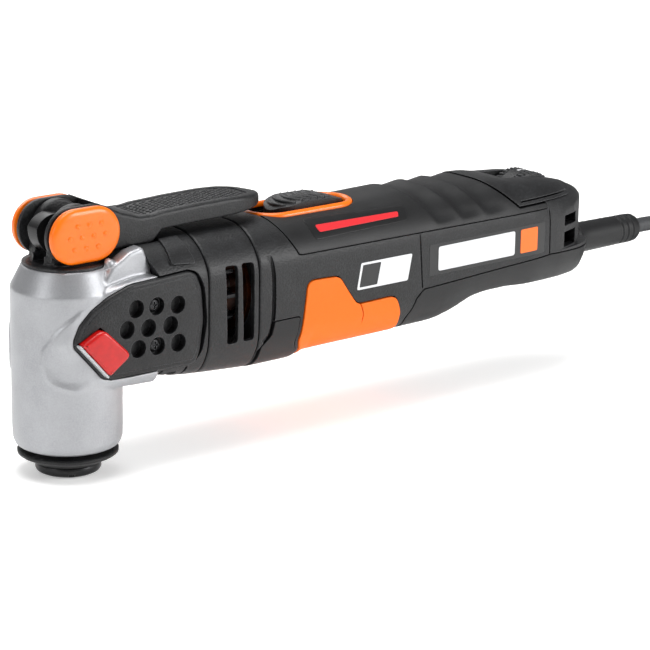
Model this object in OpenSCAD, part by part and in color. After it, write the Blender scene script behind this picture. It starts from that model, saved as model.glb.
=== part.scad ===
// Corded oscillating multi tool with a lever-locked accessory clamp.
// Frame: spindle axis on Z, accessory seat at z = 0, body running back along +X.
// The left side is -Y and the right side is +Y, as held by the user.

/* [Gear head] */
// Radius of the gear head barrel
head_r = 22.5; // [22.5:0.1:22.8]
// Height of the barrel's lower edge above the accessory seat
head_low = 7; // [6.9:0.1:7.2]
// Height where the barrel's cone begins
shoulder_z = 73.75; // [73.5:0.25:74]
// Radius of the black cap's collar
collar_r = 17.7; // [17.5:0.1:17.9]

/* [Body] */
// Height of the motor axis above the accessory seat
axis_z = 62; // [61.9:0.1:62.1]
// Half the width of the body
body_hw = 27; // [26.9:0.1:27.2]
// Rear end of the body, from the spindle axis
body_end = 280; // [280:0.5:282]
// Thickness of the soft grips and colour inserts
skin = 2.6; // [2.4:0.1:2.7]
// Wall of the housing, with its skin
wall = 5.2; // [5.1:0.1:5.3]

/* [Lever] */
// Place of the lever's pivot, ahead of the spindle axis
pivot_x = -4.8; // [-4.9:0.1:-4.7]
// Height of the lever's pivot
pivot_z = 96.6; // [96.5:0.1:96.8]
// Half the width of the lever
lever_hw = 12.5; // [12.3:0.1:12.6]
// Degrees that the lever swings open
lever_swing = 105; // [95:1:105]

/* [Clamp] */
// How far the clamping flange drops as the lever opens
clamp_drop = 3; // [2.5:0.1:3]
// Radius of the clamping flange
flange_r = 13.5; // [13:0.1:14]

/* [Switch and dial] */
// Travel of the slide switch
switch_travel = 8; // [6:0.5:8]
// Radius of the speed dial
dial_r = 17; // [16.5:0.1:17]

/* [Cord] */
// Diameter of the mains cord
cord_d = 7; // [6.8:0.1:7]
// Straight run of the put-away hank
hank_run = 100; // [95:1:105]

/* [Hidden] */
$fn = 64;
FIT = 0.02;          // gap of a press fit
RUN = 0.04;          // radial gap of a running fit
GAP = 0.35;          // gap between pieces that move past each other
BLACK = "#2c2d2f";
SOFT = "#333436";
ORANGE = "#ff7a12";
SILVER = "#b8bcc0";
STEEL = "#9a9da1";
COPPER = "#b5703c";
RED = "#e0252b";
front_x = 28;        // front of the nose collar
groove_1 = 52;       // nose collar meets the vent ring
groove_2 = 78;       // vent ring meets the clamshells
band_top = 75.8;     // upper edge of the side band
band_low = 50;       // lower edge of the side band
arm_hw = 18;         // half the width of the gear head's arm
motor_r = 23.2;      // bore of the motor space
drive_x = 29.5;      // middle of the eccentric's bearing
drive_offset = 0.8;  // eccentric's throw
flange_z = -0.3;     // top of the clamping flange
floor_z = -4.5;      // lowest point of the tool
cord_z = 50.3;       // height of the cord's axis at the boot
boot_end = 325;      // rear end of the cord boot
layer = cord_d;      // height of one layer of the hank
hank_x = 390;        // where the hank's straight runs begin
hank_inner = 21;     // bend radius of the hank's inner turns
hank_outer = 28;     // bend radius of the hank's outer turns
plug_x = 510;        // rear face of the plug
plug_z = 4;          // height of the plug's axis
screw_spots = [[150, 40], [168, 80.5], [212, 48.5], [216, 82], [246, 47.6]];
head_screw_y = 10.8;   // head screws, from the motor axis
head_screw_z = 12.6;
cover_spots = [[25.8, 66.2], [26.1, 49.5]];
cover_holes = [[15.8, 66.6], [36.3, 65.1], [11.2, 58.7], [21.7, 57.8], [32.6, 57.2],
               [16.7, 49.9], [36.5, 49.1]];
cord_route = [[325, 0, 50.3], [337, 0, 50.2], [348, -1.5, 48.8], [358, -5, 45.5],
              [367, -10, 40.5], [376, -16, 34.5], [385, -21.5, 28.8], [395, -25.5, 24],
              [406, -27.6, 21], [418, -28, 20], [430, -28, 20]];
tail_route = [[478, -28, -1], [489, -28, 0.2], [500, -28, 2.4], [510, -28, 4]];

// ---------- helpers ----------

module along_x(x0, length) translate([x0, 0, 0]) rotate([90, 0, 90])
    linear_extrude(length) children();

// A (x, z) outline drawn from y0 to y1.
module along_y(y0, y1) translate([0, y1, 0]) rotate([90, 0, 0])
    linear_extrude(y1 - y0) children();

module rod_x(x0, x1, r, y = 0, z = 0) translate([x0, y, z]) rotate([0, 90, 0])
    cylinder(h = x1 - x0, r = r);

module rod_y(y0, y1, r, x, z) translate([x, y1, z]) rotate([90, 0, 0])
    cylinder(h = y1 - y0, r = r);

module block(low, high) translate(low) cube(high - low);

module both_sides() { children(); mirror([0, 1, 0]) children(); }

module stadium(half_long, r) {
    straight = half_long - r;
    square([2 * straight, 2 * r], center = true);
    for (s = [-1, 1]) translate([s * straight, 0]) circle(r);
}

module ring_x(x0, x1, r_in, r_out, z) difference() {
    rod_x(x0, x1, r_out, 0, z);
    rod_x(x0 - 1, x1 + 1, r_in, 0, z);
}

module ring_z(z0, z1, r_in, r_out) difference() {
    translate([0, 0, z0]) cylinder(h = z1 - z0, r = r_out);
    translate([0, 0, z0 - 1]) cylinder(h = z1 - z0 + 2, r = r_in);
}

// Tube swept along a list of points, with one ring at each point.
function unit(v) = v / norm(v);
function heading(p, i) = unit(p[min(i + 1, len(p) - 1)] - p[max(i - 1, 0)]);
function sideways(t) = unit(cross(t, [0, 0, 1]));
module swept_tube(p, r, sides) {
    rings = [for (i = [0 : len(p) - 1]) let (t = heading(p, i), a = sideways(t),
        b = cross(a, t)) for (k = [0 : sides - 1])
        p[i] + r * (cos(360 * k / sides) * a + sin(360 * k / sides) * b)];
    last = (len(p) - 1) * sides;
    walls = [for (i = [0 : len(p) - 2]) for (k = [0 : sides - 1])
        let (n = (k + 1) % sides)
        [i * sides + k, i * sides + n, (i + 1) * sides + n, (i + 1) * sides + k]];
    polyhedron(points = rings, faces = concat(walls,
        [[for (k = [sides - 1 : -1 : 0]) k]], [[for (k = [0 : sides - 1]) last + k]]));
}

// ---------- outer form of the body ----------

// Cross-section (y, z), moved in by i all round.
module section(i) {
    half = [[0, 93.5 - i], [13, 92.6 - i], [22 - 0.8 * i, 88.6 - 0.8 * i],
        [26 - i, 79 - 0.3 * i], [body_hw - i, 70], [body_hw - i, 52],
        [26 - i, 43 + 0.3 * i], [22 - 0.8 * i, 35 + 0.7 * i], [15, 31 + i], [0, 29.6 + i]];
    polygon(concat(half, [for (k = [len(half) - 2 : -1 : 1]) [-half[k][0], half[k][1]]]));
}

// Side view (x, z) of the clamshell part of the body.
module profile(i) polygon([[groove_2, 92.2 - i], [100, 92.2 - i], [148, 91.4 - i],
    [177, 93.5 - i], [200, 92.5 - i], [223, 91 - i], [232, 88 - i], [247, 87.4 - i],
    [258, 84.8 - i], [272 - 0.5 * i, 80.6 - i], [278 - i, 77 - i], [body_end - i, 70],
    [body_end - i, 52], [276 - i, 45.5 + 0.5 * i], [268, 41 + i], [222, 42 + i],
    [200, 41.7 + i], [190, 35.8 + i], [178, 32.3 + i], [104, 31.4 + i],
    [groove_2, 30.4 + i]]);

// Plan (x, y) of the body, tapered and rounded at the rear.
module plan(i) {
    half = [[groove_2, body_hw - i], [236, body_hw - i], [254, 24.5 - i],
        [268 - 0.4 * i, 19.5 - i], [277 - i, 12 - 0.6 * i], [body_end - i, 4]];
    polygon(concat(half, [for (k = [len(half) - 1 : -1 : 0]) [half[k][0], -half[k][1]]]));
}

module body_form(i) intersection() {
    along_x(groove_2, body_end - groove_2) section(i);
    along_y(-40, 40) profile(i);
    linear_extrude(120) plan(i);
}

// Rings ahead of the clamshells keep the same cross-section.
module body_ring(x0, x1) intersection() {
    along_x(x0, x1 - x0) section(0);
    block([x0 - 1, -40, 0], [x1 + 1, 40, 92.2]);
}

// ---------- regions of the body's skin, as (x, z) outlines ----------

module top_region() polygon([[91.5, 100], [91.5, 92.5], [101, band_top],
    [244, band_top], [244, 78.4], [226, 78.4], [199, 100]]);

module tail_region() polygon([[199, 100], [226, 78.4], [262, 78.4], [266, 81.4],
    [268, 100]]);

module belly_region() difference() {
    polygon([[88, band_low], [248, band_low], [290, 52], [290, 25], [86, 25]]);
    insert_outline(0.01);
}

module insert_outline(grow) polygon([[97.4 - grow, 25], [97.4 - grow, 34.9],
    [101.3 - grow, 44.3], [102.5 - grow, 59.2], [104, 62.6 + grow], [107.1, 64.2 + grow],
    [119.3, 63.6 + grow], [124.5 + grow, 58.8], [130.4, 49.9 + grow],
    [149.9, 49.9 + grow], [154.1 + grow, 45.4], [155.8 + grow, 37.7], [154 + grow, 25]]);

module ring_outline(half_w) translate([117.5, 0]) stadium(half_w + 9.5, half_w);

// Part of the skin inside an (x, z) region.
module skin_over() difference() {
    intersection() { body_form(0); along_y(-40, 40) children(); }
    body_form(skin);
}

// ---------- gear head and clamp ----------

module head_screw_places() for (y = [-1, 1], z = [-1, 1])
    translate([0, head_screw_y * y, axis_z + head_screw_z * z]) children();

module gear_head() color(SILVER) difference() {
    union() {
        rotate_extrude() polygon([[0, head_low], [18.8, head_low], [21.3, head_low + 1.2],
            [22.3, head_low + 3.8], [head_r, 16], [head_r, shoulder_z], [collar_r, 83],
            [0, 83]]);
        along_y(-arm_hw, arm_hw) polygon([[0, 36], [25.7, 35.5], [25.7, 34], [44, 36],
            [44, 87.6], [20, 87.6], [8, 82.6], [0, 80]]);
        both_sides() along_y(arm_hw - 4.6, 20) polygon([[8, 35.6], [25.6, 35.6],
            [25.6, 32.4], [27.7, 32.4], [27.7, 78], [23.7, 89.7], [17.5, 88.2],
            [9, 83.2], [8, 78]]);
    }
    translate([0, 0, head_low - 1]) cylinder(h = 5.01 + 1, r = 17.5);
    translate([0, 0, 12]) cylinder(h = 10, r = 17.5);
    translate([0, 0, 21]) cylinder(h = 48.01, r = 16);
    translate([0, 0, 68]) cylinder(h = 4, r = 9);
    translate([0, 0, 71]) cylinder(h = 20, r = 11);
    translate([0, 0, 83]) cylinder(h = 8, r = collar_r + FIT);
    block([10, -13, 51.8], [45, 13, 72.2]);
    head_screw_places() rod_x(30, 45, 2.02);
    block([4, -13.3, 87.8], [60, 13.3, 100]);
    for (p = cover_spots) both_sides() rod_y(arm_hw - 3.4, arm_hw + 4, 1.52, p[0], p[1]);
}

module head_cap() color(BLACK) difference() {
    union() {
        translate([0, 0, 78]) cylinder(h = 5.02, r = 11 - FIT);
        translate([0, 0, 83]) cylinder(h = 1.1, r1 = collar_r, r2 = collar_r - 0.3);
        intersection() {
            translate([0, 0, 84]) cylinder(h = 4, r = 13.6);
            block([-14, -8, 83.9], [14, 8, 90]);
        }
        both_sides() along_y(4, 8) union() {
            translate([0, pivot_z]) circle(11.3);
            translate([-12.4, 86]) square([24.6, 9]);
        }
    }
    translate([0, 0, 70]) cylinder(h = 20, r = 3);
    translate([0, 0, 80.4]) cylinder(h = 9, r = 7);
    block([-16, -3.9, 84.6], [8, 3.9, 120]);
    rod_y(-9, 9, 3 + RUN, pivot_x, pivot_z);
}

module spindle() color(STEEL) difference() {
    union() {
        cylinder(h = 4.4, r = 12.5);
        translate([0, 0, 4.4]) cylinder(h = 18.6, r = 8.5);
        translate([0, 0, 23]) cylinder(h = 44.5, r = 7);
        translate([0, 0, 67.5]) cylinder(h = 10, r = 5);
        for (a = [45 : 90 : 315]) rotate([0, 0, a])
            translate([10.5, 0, -1]) cylinder(h = 1.5, r = 1.4);
    }
    translate([0, 0, -1]) cylinder(h = 90, r = 2.5 + RUN);
    translate([0, 0, 30]) cylinder(h = 24, r = 5.4);
}

module spindle_bearing_upper() color(STEEL) ring_z(71, 77, 5 + RUN, 11 - FIT);

module spindle_bearing_lower() color(STEEL) ring_z(12.2, 22, 8.5 + RUN, 17.5 - FIT);

module bearing_retainer() color(STEEL) ring_z(8.6, 12, 9.2, 17.5 - FIT);

module dust_skirt() color(BLACK) rotate_extrude() polygon([[12.52, 0.3], [13.5, 0.3],
    [14.6, 1.6], [17, 3.3], [20, 4.7], [20.2, 6.2], [18.8, 6.2], [16, 4.9], [8.6, 4.9],
    [8.6, 4.45], [12.52, 4.45]]);

module oscillating_fork() color(STEEL) difference() {
    union() {
        translate([0, 0, 57]) cylinder(h = 10, r = 11.5);
        both_sides() block([0, 8.1, 57], [33, 11.4, 67]);
    }
    translate([0, 0, 56]) cylinder(h = 12, r = 7 + FIT);
}

module push_rod() color(STEEL) {
    translate([0, 0, -3.5]) cylinder(h = 88.5, r = 2.5);
    translate([0, 0, 50]) cylinder(h = 2, r = 5);
    translate([0, 0, 84.2]) cylinder(h = 3.9, r = 6.6);
}

module clamp_springs() color(STEEL) for (k = [0 : 5]) translate([0, 0, 30.3 + 3.2 * k])
    rotate_extrude() polygon(k % 2 == 0 ?
        [[2.8, 2.2], [2.8, 3], [5, 0.9], [5, 0.1]] : [[2.8, 0.1], [2.8, 0.9], [5, 3], [5, 2.2]]);

module clamp_flange() color(BLACK) difference() {
    rotate_extrude() polygon([[0, floor_z], [11.2, floor_z], [flange_r - 0.6, -3.6],
        [flange_r, -2.6], [flange_r - 0.3, flange_z], [0, flange_z]]);
    translate([0, 0, -3.5]) cylinder(h = 5, r = 2.5 + FIT);
    for (a = [45 : 90 : 315]) rotate([0, 0, a])
        translate([10.5, 0, -1.6]) cylinder(h = 2, r = 2);
    rotate([0, 0, -62]) block([11.4, -1.3, floor_z - 1], [15, 1.3, -2.4]);
}

// ---------- lever ----------

module ear_outline() translate([0.2, pivot_z]) stadium(17, 12);

module lever() color(BLACK) difference() {
    union() {
        both_sides() along_y(9, 13) ear_outline();
        intersection() {
            along_y(-lever_hw, lever_hw) polygon([[9, 88.3], [34, 88.6], [38.5, 93.1],
                [60, 93.8], [76, 94.2], [89, 95.3], [95.5, 96.8], [95.2, 98.2],
                [88, 100], [72, 100.8], [50, 100.2], [28, 99.6], [19, 102.6],
                [10, 107.6], [4, 108.5]]);
            translate([0, 0, 80]) linear_extrude(40) union() {
                translate([0, -lever_hw]) square([77, 2 * lever_hw]);
                translate([77, 0]) scale([1.5, 1]) circle(lever_hw);
            }
        }
    }
    block([-30, -9, 80], [12.6, 9, 120]);
    translate([pivot_x, 0, pivot_z]) rotate([90, 0, 0]) cylinder(h = 36, r = 3 + FIT,
        center = true);
    both_sides() along_y(10.8, 14) translate([0.2, pivot_z]) stadium(16.35, 11.2);
    rod_y(-14, 14, 2.95, 9.2, pivot_z);
}

module lever_pin() color(STEEL) rod_y(-10.7, 10.7, 3, pivot_x, pivot_z);

// The cam's radius grows evenly with the swing, so the drop follows the lever's angle.
cam_low = 8.2;
cam_blend = 75;
function cam_r(a) = a <= 0 ? cam_low + a / 150 : a <= lever_swing ?
    cam_low + clamp_drop * a / lever_swing :
    cam_low + clamp_drop - (clamp_drop + 1) * min(1, (a - lever_swing) / cam_blend);
module lever_cam() color(STEEL) along_y(-3.2, 3.2) difference() {
    translate([pivot_x, pivot_z]) polygon([for (a = [-150 : 5 : 205])
        cam_r(a) * [cos(270 - a), sin(270 - a)]]);
    translate([pivot_x, pivot_z]) circle(3 + FIT);
}

module lock_button() difference() {
    union() {
        along_y(12.3, 15) translate([0.2, pivot_z]) stadium(16, 10.85);
        along_y(14.9, 15.6) translate([0.2, pivot_z]) stadium(15.1, 9.95);
        rod_y(9.5, 13, 2.6, 9.2, pivot_z);
    }
    difference() {
        rod_y(12, 13.8, 6, 9.2, pivot_z);
        rod_y(9.5, 14, 2.6, 9.2, pivot_z);
    }
}
module lock_button_right() color(ORANGE) lock_button();
module lock_button_left() color(ORANGE) mirror([0, 1, 0]) lock_button();

module button_springs() color(STEEL) both_sides() difference() {
    rod_y(10.85, 12, 5.4, 9.2, pivot_z);
    rod_y(10, 13, 3.2, 9.2, pivot_z);
}

// ---------- covers and lamps ----------

hood_corners = [[-12.7, 56.8], [-2, 61.8], [11.9, 48.9], [1.2, 41.8]];
function mid(p) = (p[0] + p[1] + p[2] + p[3]) / 4;
function grown(p, f) = [for (q = p) mid(p) + f * (q - mid(p))];
lens_corners = [[-13.6, 55.9], [-12.95, 56.6], [0.95, 41.6], [0.3, 40.9]];

module cover_outline() polygon([[24.8, 77.2], [13.3, 76.6], [2.5, 73.2], [-6.1, 68.8],
    [-11.6, 63.8], [-14.2, 58.5], [-14.4, 55.4], [-0.4, 40.2], [4, 39], [45.7, 38.6],
    [48, 44], [50, 56.5], [48.8, 70.2], [46, 76.6], [42, 78]]);

module side_cover() difference() {
    along_y(20.4, 26) cover_outline();
    cylinder(h = 100, r = head_r + 0.1);
    for (p = cover_holes) rod_y(22.4, 27, 3.75, p[0], p[1]);
    for (p = cover_spots) {
        rod_y(23.2, 27, 3.75, p[0], p[1]);
        rod_y(20, 27, 1.52, p[0], p[1]);
    }
    along_y(21.6, 28) polygon(grown(hood_corners, 1.02));
    along_y(21.6, 28) polygon(grown(lens_corners, 1.06));
}
module side_cover_right() color(BLACK) side_cover();
module side_cover_left() color(BLACK) mirror([0, 1, 0]) side_cover();

module cover_screws() color(STEEL) both_sides() for (p = cover_spots) difference() {
    union() {
        rod_y(arm_hw - 3, 23.3, 1.5, p[0], p[1]);
        rod_y(23.25, 24.8, 2.8, p[0], p[1]);
    }
    along_y(24, 25) translate(p) square([3, 0.7], center = true);
    along_y(24, 25) translate(p) square([0.7, 3], center = true);
}

module lamp_hoods() color(RED) both_sides() difference() {
    along_y(21.8, 29.4) polygon(hood_corners);
    cylinder(h = 100, r = head_r + 0.3);
    along_y(22.4, 24) polygon(grown(hood_corners, 0.6));
}

module lamp_lenses() color("#dfe6ea") both_sides() difference() {
    along_y(22, 28.4) polygon(lens_corners);
    cylinder(h = 100, r = head_r + 0.3);
}

module lamp_boards() color("#3c7a4c") both_sides()
    along_y(22.6, 23.8) polygon(grown(hood_corners, 0.5));

// ---------- nose, bearing plate and fan ring ----------

module nose_collar() color(BLACK) difference() {
    union() {
        intersection() {
            body_ring(front_x, groove_1 - 0.2);
            along_y(-40, 40) polygon([[28, 78], [28, 38], [45, 31], [60, 31], [60, 100],
                [42, 100], [38, 90.5], [24.2, 90.5], [26, 84]]);
        }
    }
    block([20, -arm_hw - 0.05, 33.9], [44.02, arm_hw + 0.05, 87.65]);
    both_sides() along_y(arm_hw - 6, 20.1) polygon([[8, 30], [27.9, 30], [27.9, 78],
        [23.9, 89.8], [16, 90]]);
    rod_x(43, 60, 19.5, 0, axis_z);
    both_sides() along_y(20.35, 30) polygon([[-20, 30], [45.9, 38.4], [48.3, 44],
        [50.3, 56.5], [49.1, 70.2], [46.3, 76.9], [42, 78.3], [24, 77.6], [-20, 80]]);
    block([4, -13.3, 87.8], [37.5, 13.3, 100]);
    for (p = cover_spots) both_sides() rod_y(arm_hw - 1, 27, 1.52, p[0], p[1]);
}

module bearing_plate() color(SILVER) difference() {
    rod_x(44.1, groove_1 - 0.4, 19.45, 0, axis_z);
    rod_x(43, 60, 11, 0, axis_z);
    head_screw_places() rod_x(43, 60, 2.02);
}

module head_screws() color(STEEL) head_screw_places() {
    rod_x(32, 53.5, 2);
    rod_x(groove_1 - 0.35, 55, 3.4);
}

module vent_ring() color(BLACK) difference() {
    body_ring(groove_1, groove_2 - 0.2);
    rod_x(groove_1 - 1, groove_2 + 1, motor_r, 0, axis_z);
    both_sides() along_y(20, 30) for (x = [60.6, 68.4]) translate([x, 43.8])
        square([5.8, 32.6]);
}

// ---------- motor ----------

module armature_shaft() color(STEEL) {
    rod_x(26.5, 32.4, 3, 0, axis_z + drive_offset);
    rod_x(32.3, 51.2, 4, 0, axis_z);
    rod_x(51.2, 154, 5, 0, axis_z);
    rod_x(153.9, 163, 3.5, 0, axis_z);
}

module drive_bearing() color(STEEL) translate([0, 0, drive_offset])
    ring_x(27, 32, 3 + FIT, 6, axis_z);

module counterweight() color("#8a6f3c") difference() {
    rod_x(35.5, 42, 10, 0, axis_z);
    rod_x(35, 43, 4 + FIT, 0, axis_z);
    block([35, -11, axis_z + 5], [43, 11, axis_z + 12]);
}

module front_bearing() color(STEEL) ring_x(44.5, 51.1, 4 + RUN, 11 - FIT, axis_z);

module cooling_fan() color("#3a3b3e") difference() {
    union() {
        rod_x(58, 60, 20.5, 0, axis_z);
        rod_x(60, 72, 8, 0, axis_z);
        for (a = [0 : 30 : 330]) translate([0, 0, axis_z]) rotate([a, 0, 0])
            block([59.9, -0.7, 7], [71, 0.7, 20]);
    }
    rod_x(57, 73, 5 + FIT, 0, axis_z);
}

module armature_core() color(STEEL) difference() {
    rod_x(84, 124, 14, 0, axis_z);
    rod_x(83, 125, 5 + FIT, 0, axis_z);
    for (a = [0 : 30 : 330]) translate([0, 0, axis_z]) rotate([a, 0, 0])
        block([83, -1.1, 9], [125, 1.1, 15]);
}

module armature_winding() color(COPPER) difference() {
    union() {
        rod_x(79, 83.9, 12.5, 0, axis_z);
        rod_x(124.1, 130, 12.5, 0, axis_z);
        for (a = [0 : 30 : 330]) translate([0, 0, axis_z]) rotate([a, 0, 0])
            block([83.8, -1, 9.2], [124.2, 1, 12.4]);
    }
    rod_x(78, 131, 5 + FIT, 0, axis_z);
}

module commutator() color(COPPER) difference() {
    rod_x(134, 148, 9, 0, axis_z);
    rod_x(133, 149, 5 + FIT, 0, axis_z);
    for (a = [15 : 30 : 345]) translate([0, 0, axis_z]) rotate([a, 0, 0])
        block([133, -0.3, 8], [147, 0.3, 10]);
}

module rear_bearing() color(STEEL) ring_x(155, 161, 3.5 + RUN, 9.5 - FIT, axis_z);

module stator_core() color(STEEL) difference() {
    rod_x(84, 124, motor_r - 0.05, 0, axis_z);
    rod_x(83, 125, 14.6, 0, axis_z);
    both_sides() difference() {
        rod_x(83, 125, 20.5, 0, axis_z);
        rod_x(82, 126, 15.4, 0, axis_z);
        block([80, -24, 30], [130, 9.9, 95]);
    }
}

module field_coils() color(COPPER) {
    ring_x(76.5, 83.8, 15.6, 20.2, axis_z);
    ring_x(124.2, 132, 15.6, 20.2, axis_z);
    both_sides() intersection() {
        ring_x(83.5, 124.5, 15.6, 20.2, axis_z);
        block([83, 10.4, 30], [125, 24, 95]);
    }
}

module brush_holders() color("#7d6a3a") both_sides() difference() {
    block([137, 10.2, axis_z - 4.6], [147, 21, axis_z + 4.6]);
    block([138.5, 9, axis_z - 3.1], [145.5, 19.8, axis_z + 3.1]);
}

module carbon_brushes() color("#26262a") both_sides() difference() {
    block([138.6, 8, axis_z - 3], [145.4, 19.6, axis_z + 3]);
    rod_x(130, 150, 9 + RUN, 0, axis_z);
}

// ---------- housing and its skins ----------

module housing() difference() {
    union() {
        difference() {
            body_form(0);
            intersection() { body_form(wall); block([170, -40, 0], [272, 40, 120]); }
        }
        intersection() {
            body_form(wall - 1);
            for (p = screw_spots) rod_y(-18, 18, 3.6, p[0], p[1]);
        }
    }
    rod_x(70, 133, motor_r, 0, axis_z);
    rod_x(132.9, 150, 21.6, 0, axis_z);
    rod_x(149.9, 155, 12, 0, axis_z);
    rod_x(154.9, 161.1, 9.5, 0, axis_z);
    rod_x(161, 171, 6, 0, axis_z);
    for (part = [0 : 3]) difference() {
        along_y(-40, 40) {
            if (part == 0) top_region();
            if (part == 1) tail_region();
            if (part == 2) belly_region();
            if (part == 3) insert_outline(0);
        }
        body_form(skin);
    }
    difference() {
        translate([0, 0, 80]) linear_extrude(40) ring_outline(17.5);
        body_form(skin);
    }
    block([100, -9.5, 84], [138, 9.5, 100]);
    block([100, -4.5, 84.9], [206, 4.5, 88.4]);
    block([232, -8, 54], [268, 8, 100]);
    for (z = [[56.6, 60.5], [67.8, 71.5]]) both_sides()
        block([253, 10, z[0]], [264, 30, z[1]]);
    rod_x(266, 290, 6.2, 0, cord_z);
    for (p = screw_spots) {
        rod_y(-14, 40, 1.62, p[0], p[1]);
        rod_y(18, 40, 3.2, p[0], p[1]);
    }
    both_sides() block([171, 26.2, 55.6], [241, 30, 70.4]);
}

module housing_right() color(BLACK) intersection() {
    housing();
    block([70, 0.05, 0], [300, 60, 120]);
}

module housing_left() color(BLACK) intersection() {
    housing();
    block([70, -60, 0], [300, -0.05, 120]);
}

module top_grip() color(SOFT) difference() {
    skin_over() top_region();
    translate([0, 0, 80]) linear_extrude(40) ring_outline(17.5);
    for (p = screw_spots) rod_y(18, 40, 3.2, p[0], p[1]);
}

module belly_grip() color(SOFT) difference() {
    skin_over() belly_region();
    for (p = screw_spots) rod_y(18, 40, 3.2, p[0], p[1]);
    rod_x(266, 290, 6.2, 0, cord_z);
}

module colour_insert_right() color(ORANGE) difference() {
    intersection() {
        skin_over() insert_outline(0);
        block([90, 0, 0], [160, 60, 120]);
    }
    for (p = screw_spots) rod_y(18, 40, 3.2, p[0], p[1]);
}

module colour_insert_left() color(ORANGE) intersection() {
    skin_over() insert_outline(0);
    block([90, -60, 0], [160, -0.05, 120]);
}

module tail_cap() color(BLACK) difference() {
    skin_over() tail_region();
    block([232, -8, 54], [268, 8, 100]);
}

module name_plates() color("#e8e8e8") both_sides()
    block([171.2, 26.2, 55.8], [240.8, 26.9, 70.2]);

module housing_screws() color(STEEL) for (p = screw_spots) {
    rod_y(-13, 18.1, 1.6, p[0], p[1]);
    rod_y(18.05, 20, 3, p[0], p[1]);
}

// ---------- switch, dial and electronics ----------

module switch_ring() color(ORANGE) difference() {
    translate([0, 0, 84]) linear_extrude(9) difference() {
        ring_outline(17.5);
        ring_outline(13.5);
    }
    body_form(skin);
}

module switch_slider() color(BLACK) {
    intersection() {
        along_y(-13, 13) polygon([[105, 91.2], [107, 90.4], [139, 90.4],
            [139.8, 91.6], [138, 93], [128, 95], [118, 95.2], [108, 93.2]]);
        translate([122.4, 0, 80]) linear_extrude(30) stadium(17.3, 12.6);
    }
    block([112.5, -4, 85.6], [132, 4, 91]);
    block([112.5, -3.5, 85.6], [186, 3.5, 87.4]);
}

module switch_block() color("#48494c") {
    block([176, -9, 63], [204, 9, 81]);
    block([178, -7, 80.9], [190, 7, 84.4]);
}

module speed_dial() color(BLACK) translate([250, 0, 71.4]) rotate([90, 0, 0])
    difference() {
        cylinder(h = 14, r = dial_r, center = true);
        for (a = [0 : 10 : 350]) rotate([0, 0, a]) translate([dial_r + 0.3, 0, 0])
            cylinder(h = 16, r = 0.8, center = true, $fn = 24);
    }

module control_board() color("#3c7a4c") {
    block([207, -13, 58], [229, 13, 59.6]);
    translate([214, -5, 59.5]) cylinder(h = 14, r = 4.5);
    block([219, -9, 59.5], [227, 9, 66]);
    block([207.5, 2, 59.5], [217.5, 10, 65]);
}

// ---------- mains cord ----------

module cord_clamp() color(STEEL) difference() {
    block([255, -9, 46.6], [262, 9, 53.9]);
    rod_x(254, 263, 3 + FIT, 0, cord_z);
}

module cord_boot() color(BLACK) {
    rod_x(266.5, 281.2, 6, 0, cord_z);
    rod_x(250, 266.6, 3, 0, cord_z);
    translate([0, 0, cord_z]) rotate([0, 90, 0]) rotate_extrude() polygon([[0, 281],
        [8.8, 281], [8.8, 284], [7.3, 288.5], [7.1, 292], [6.6, boot_end], [0, boot_end]]);
}

module cord() color(BLACK) swept_tube(cord_route, cord_d / 2, 12);

module cord_tail() color(BLACK) swept_tube(tail_route, cord_d / 2, 12);

module cord_hank() color(BLACK) translate([hank_x + hank_run / 2, 0, floor_z])
    linear_extrude(4 * layer) difference() {
        stadium(hank_run / 2 + hank_outer + layer / 2, hank_outer + layer / 2);
        stadium(hank_run / 2 + hank_inner - layer / 2, hank_inner - layer / 2);
    }

module plug() {
    color(BLACK) {
        block([plug_x + 8, -hank_outer - 12, floor_z], [plug_x + 38, -hank_outer + 12, 12.5]);
        rod_x(plug_x, plug_x + 8.1, 5, -hank_outer, plug_z);
    }
    color(STEEL) for (s = [-1, 1]) block([plug_x + 37.9, -hank_outer + s * 6.35 - 0.75, 0.8],
        [plug_x + 54, -hank_outer + s * 6.35 + 0.75, 7.2]);
}

gear_head();
head_cap();
spindle();
spindle_bearing_upper();
spindle_bearing_lower();
bearing_retainer();
dust_skirt();
oscillating_fork();
push_rod();
clamp_springs();
clamp_flange();
lever();
lever_pin();
lever_cam();
lock_button_left();
lock_button_right();
button_springs();
side_cover_left();
side_cover_right();
cover_screws();
lamp_hoods();
lamp_lenses();
lamp_boards();
nose_collar();
bearing_plate();
head_screws();
vent_ring();
armature_shaft();
drive_bearing();
counterweight();
front_bearing();
cooling_fan();
armature_core();
armature_winding();
commutator();
rear_bearing();
stator_core();
field_coils();
brush_holders();
carbon_brushes();
housing_left();
housing_right();
top_grip();
belly_grip();
colour_insert_left();
colour_insert_right();
tail_cap();
switch_ring();
switch_slider();
switch_block();
speed_dial();
control_board();
name_plates();
housing_screws();
cord_clamp();
cord_boot();
cord();
cord_hank();
cord_tail();
plug();
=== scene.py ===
"""Visual model of a corded oscillating multi tool with a lever-locked accessory clamp.

Every length in this file is in millimetres, in the frame of the CAD model, unless its name
says metres. A finished piece is written in metres, with its object at the origin.
"""

import logging
import math
from dataclasses import dataclass
from enum import Enum
from typing import Any, Callable, Sequence

import bmesh
import bpy
import numpy as np
from mathutils import Matrix, Vector


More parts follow.
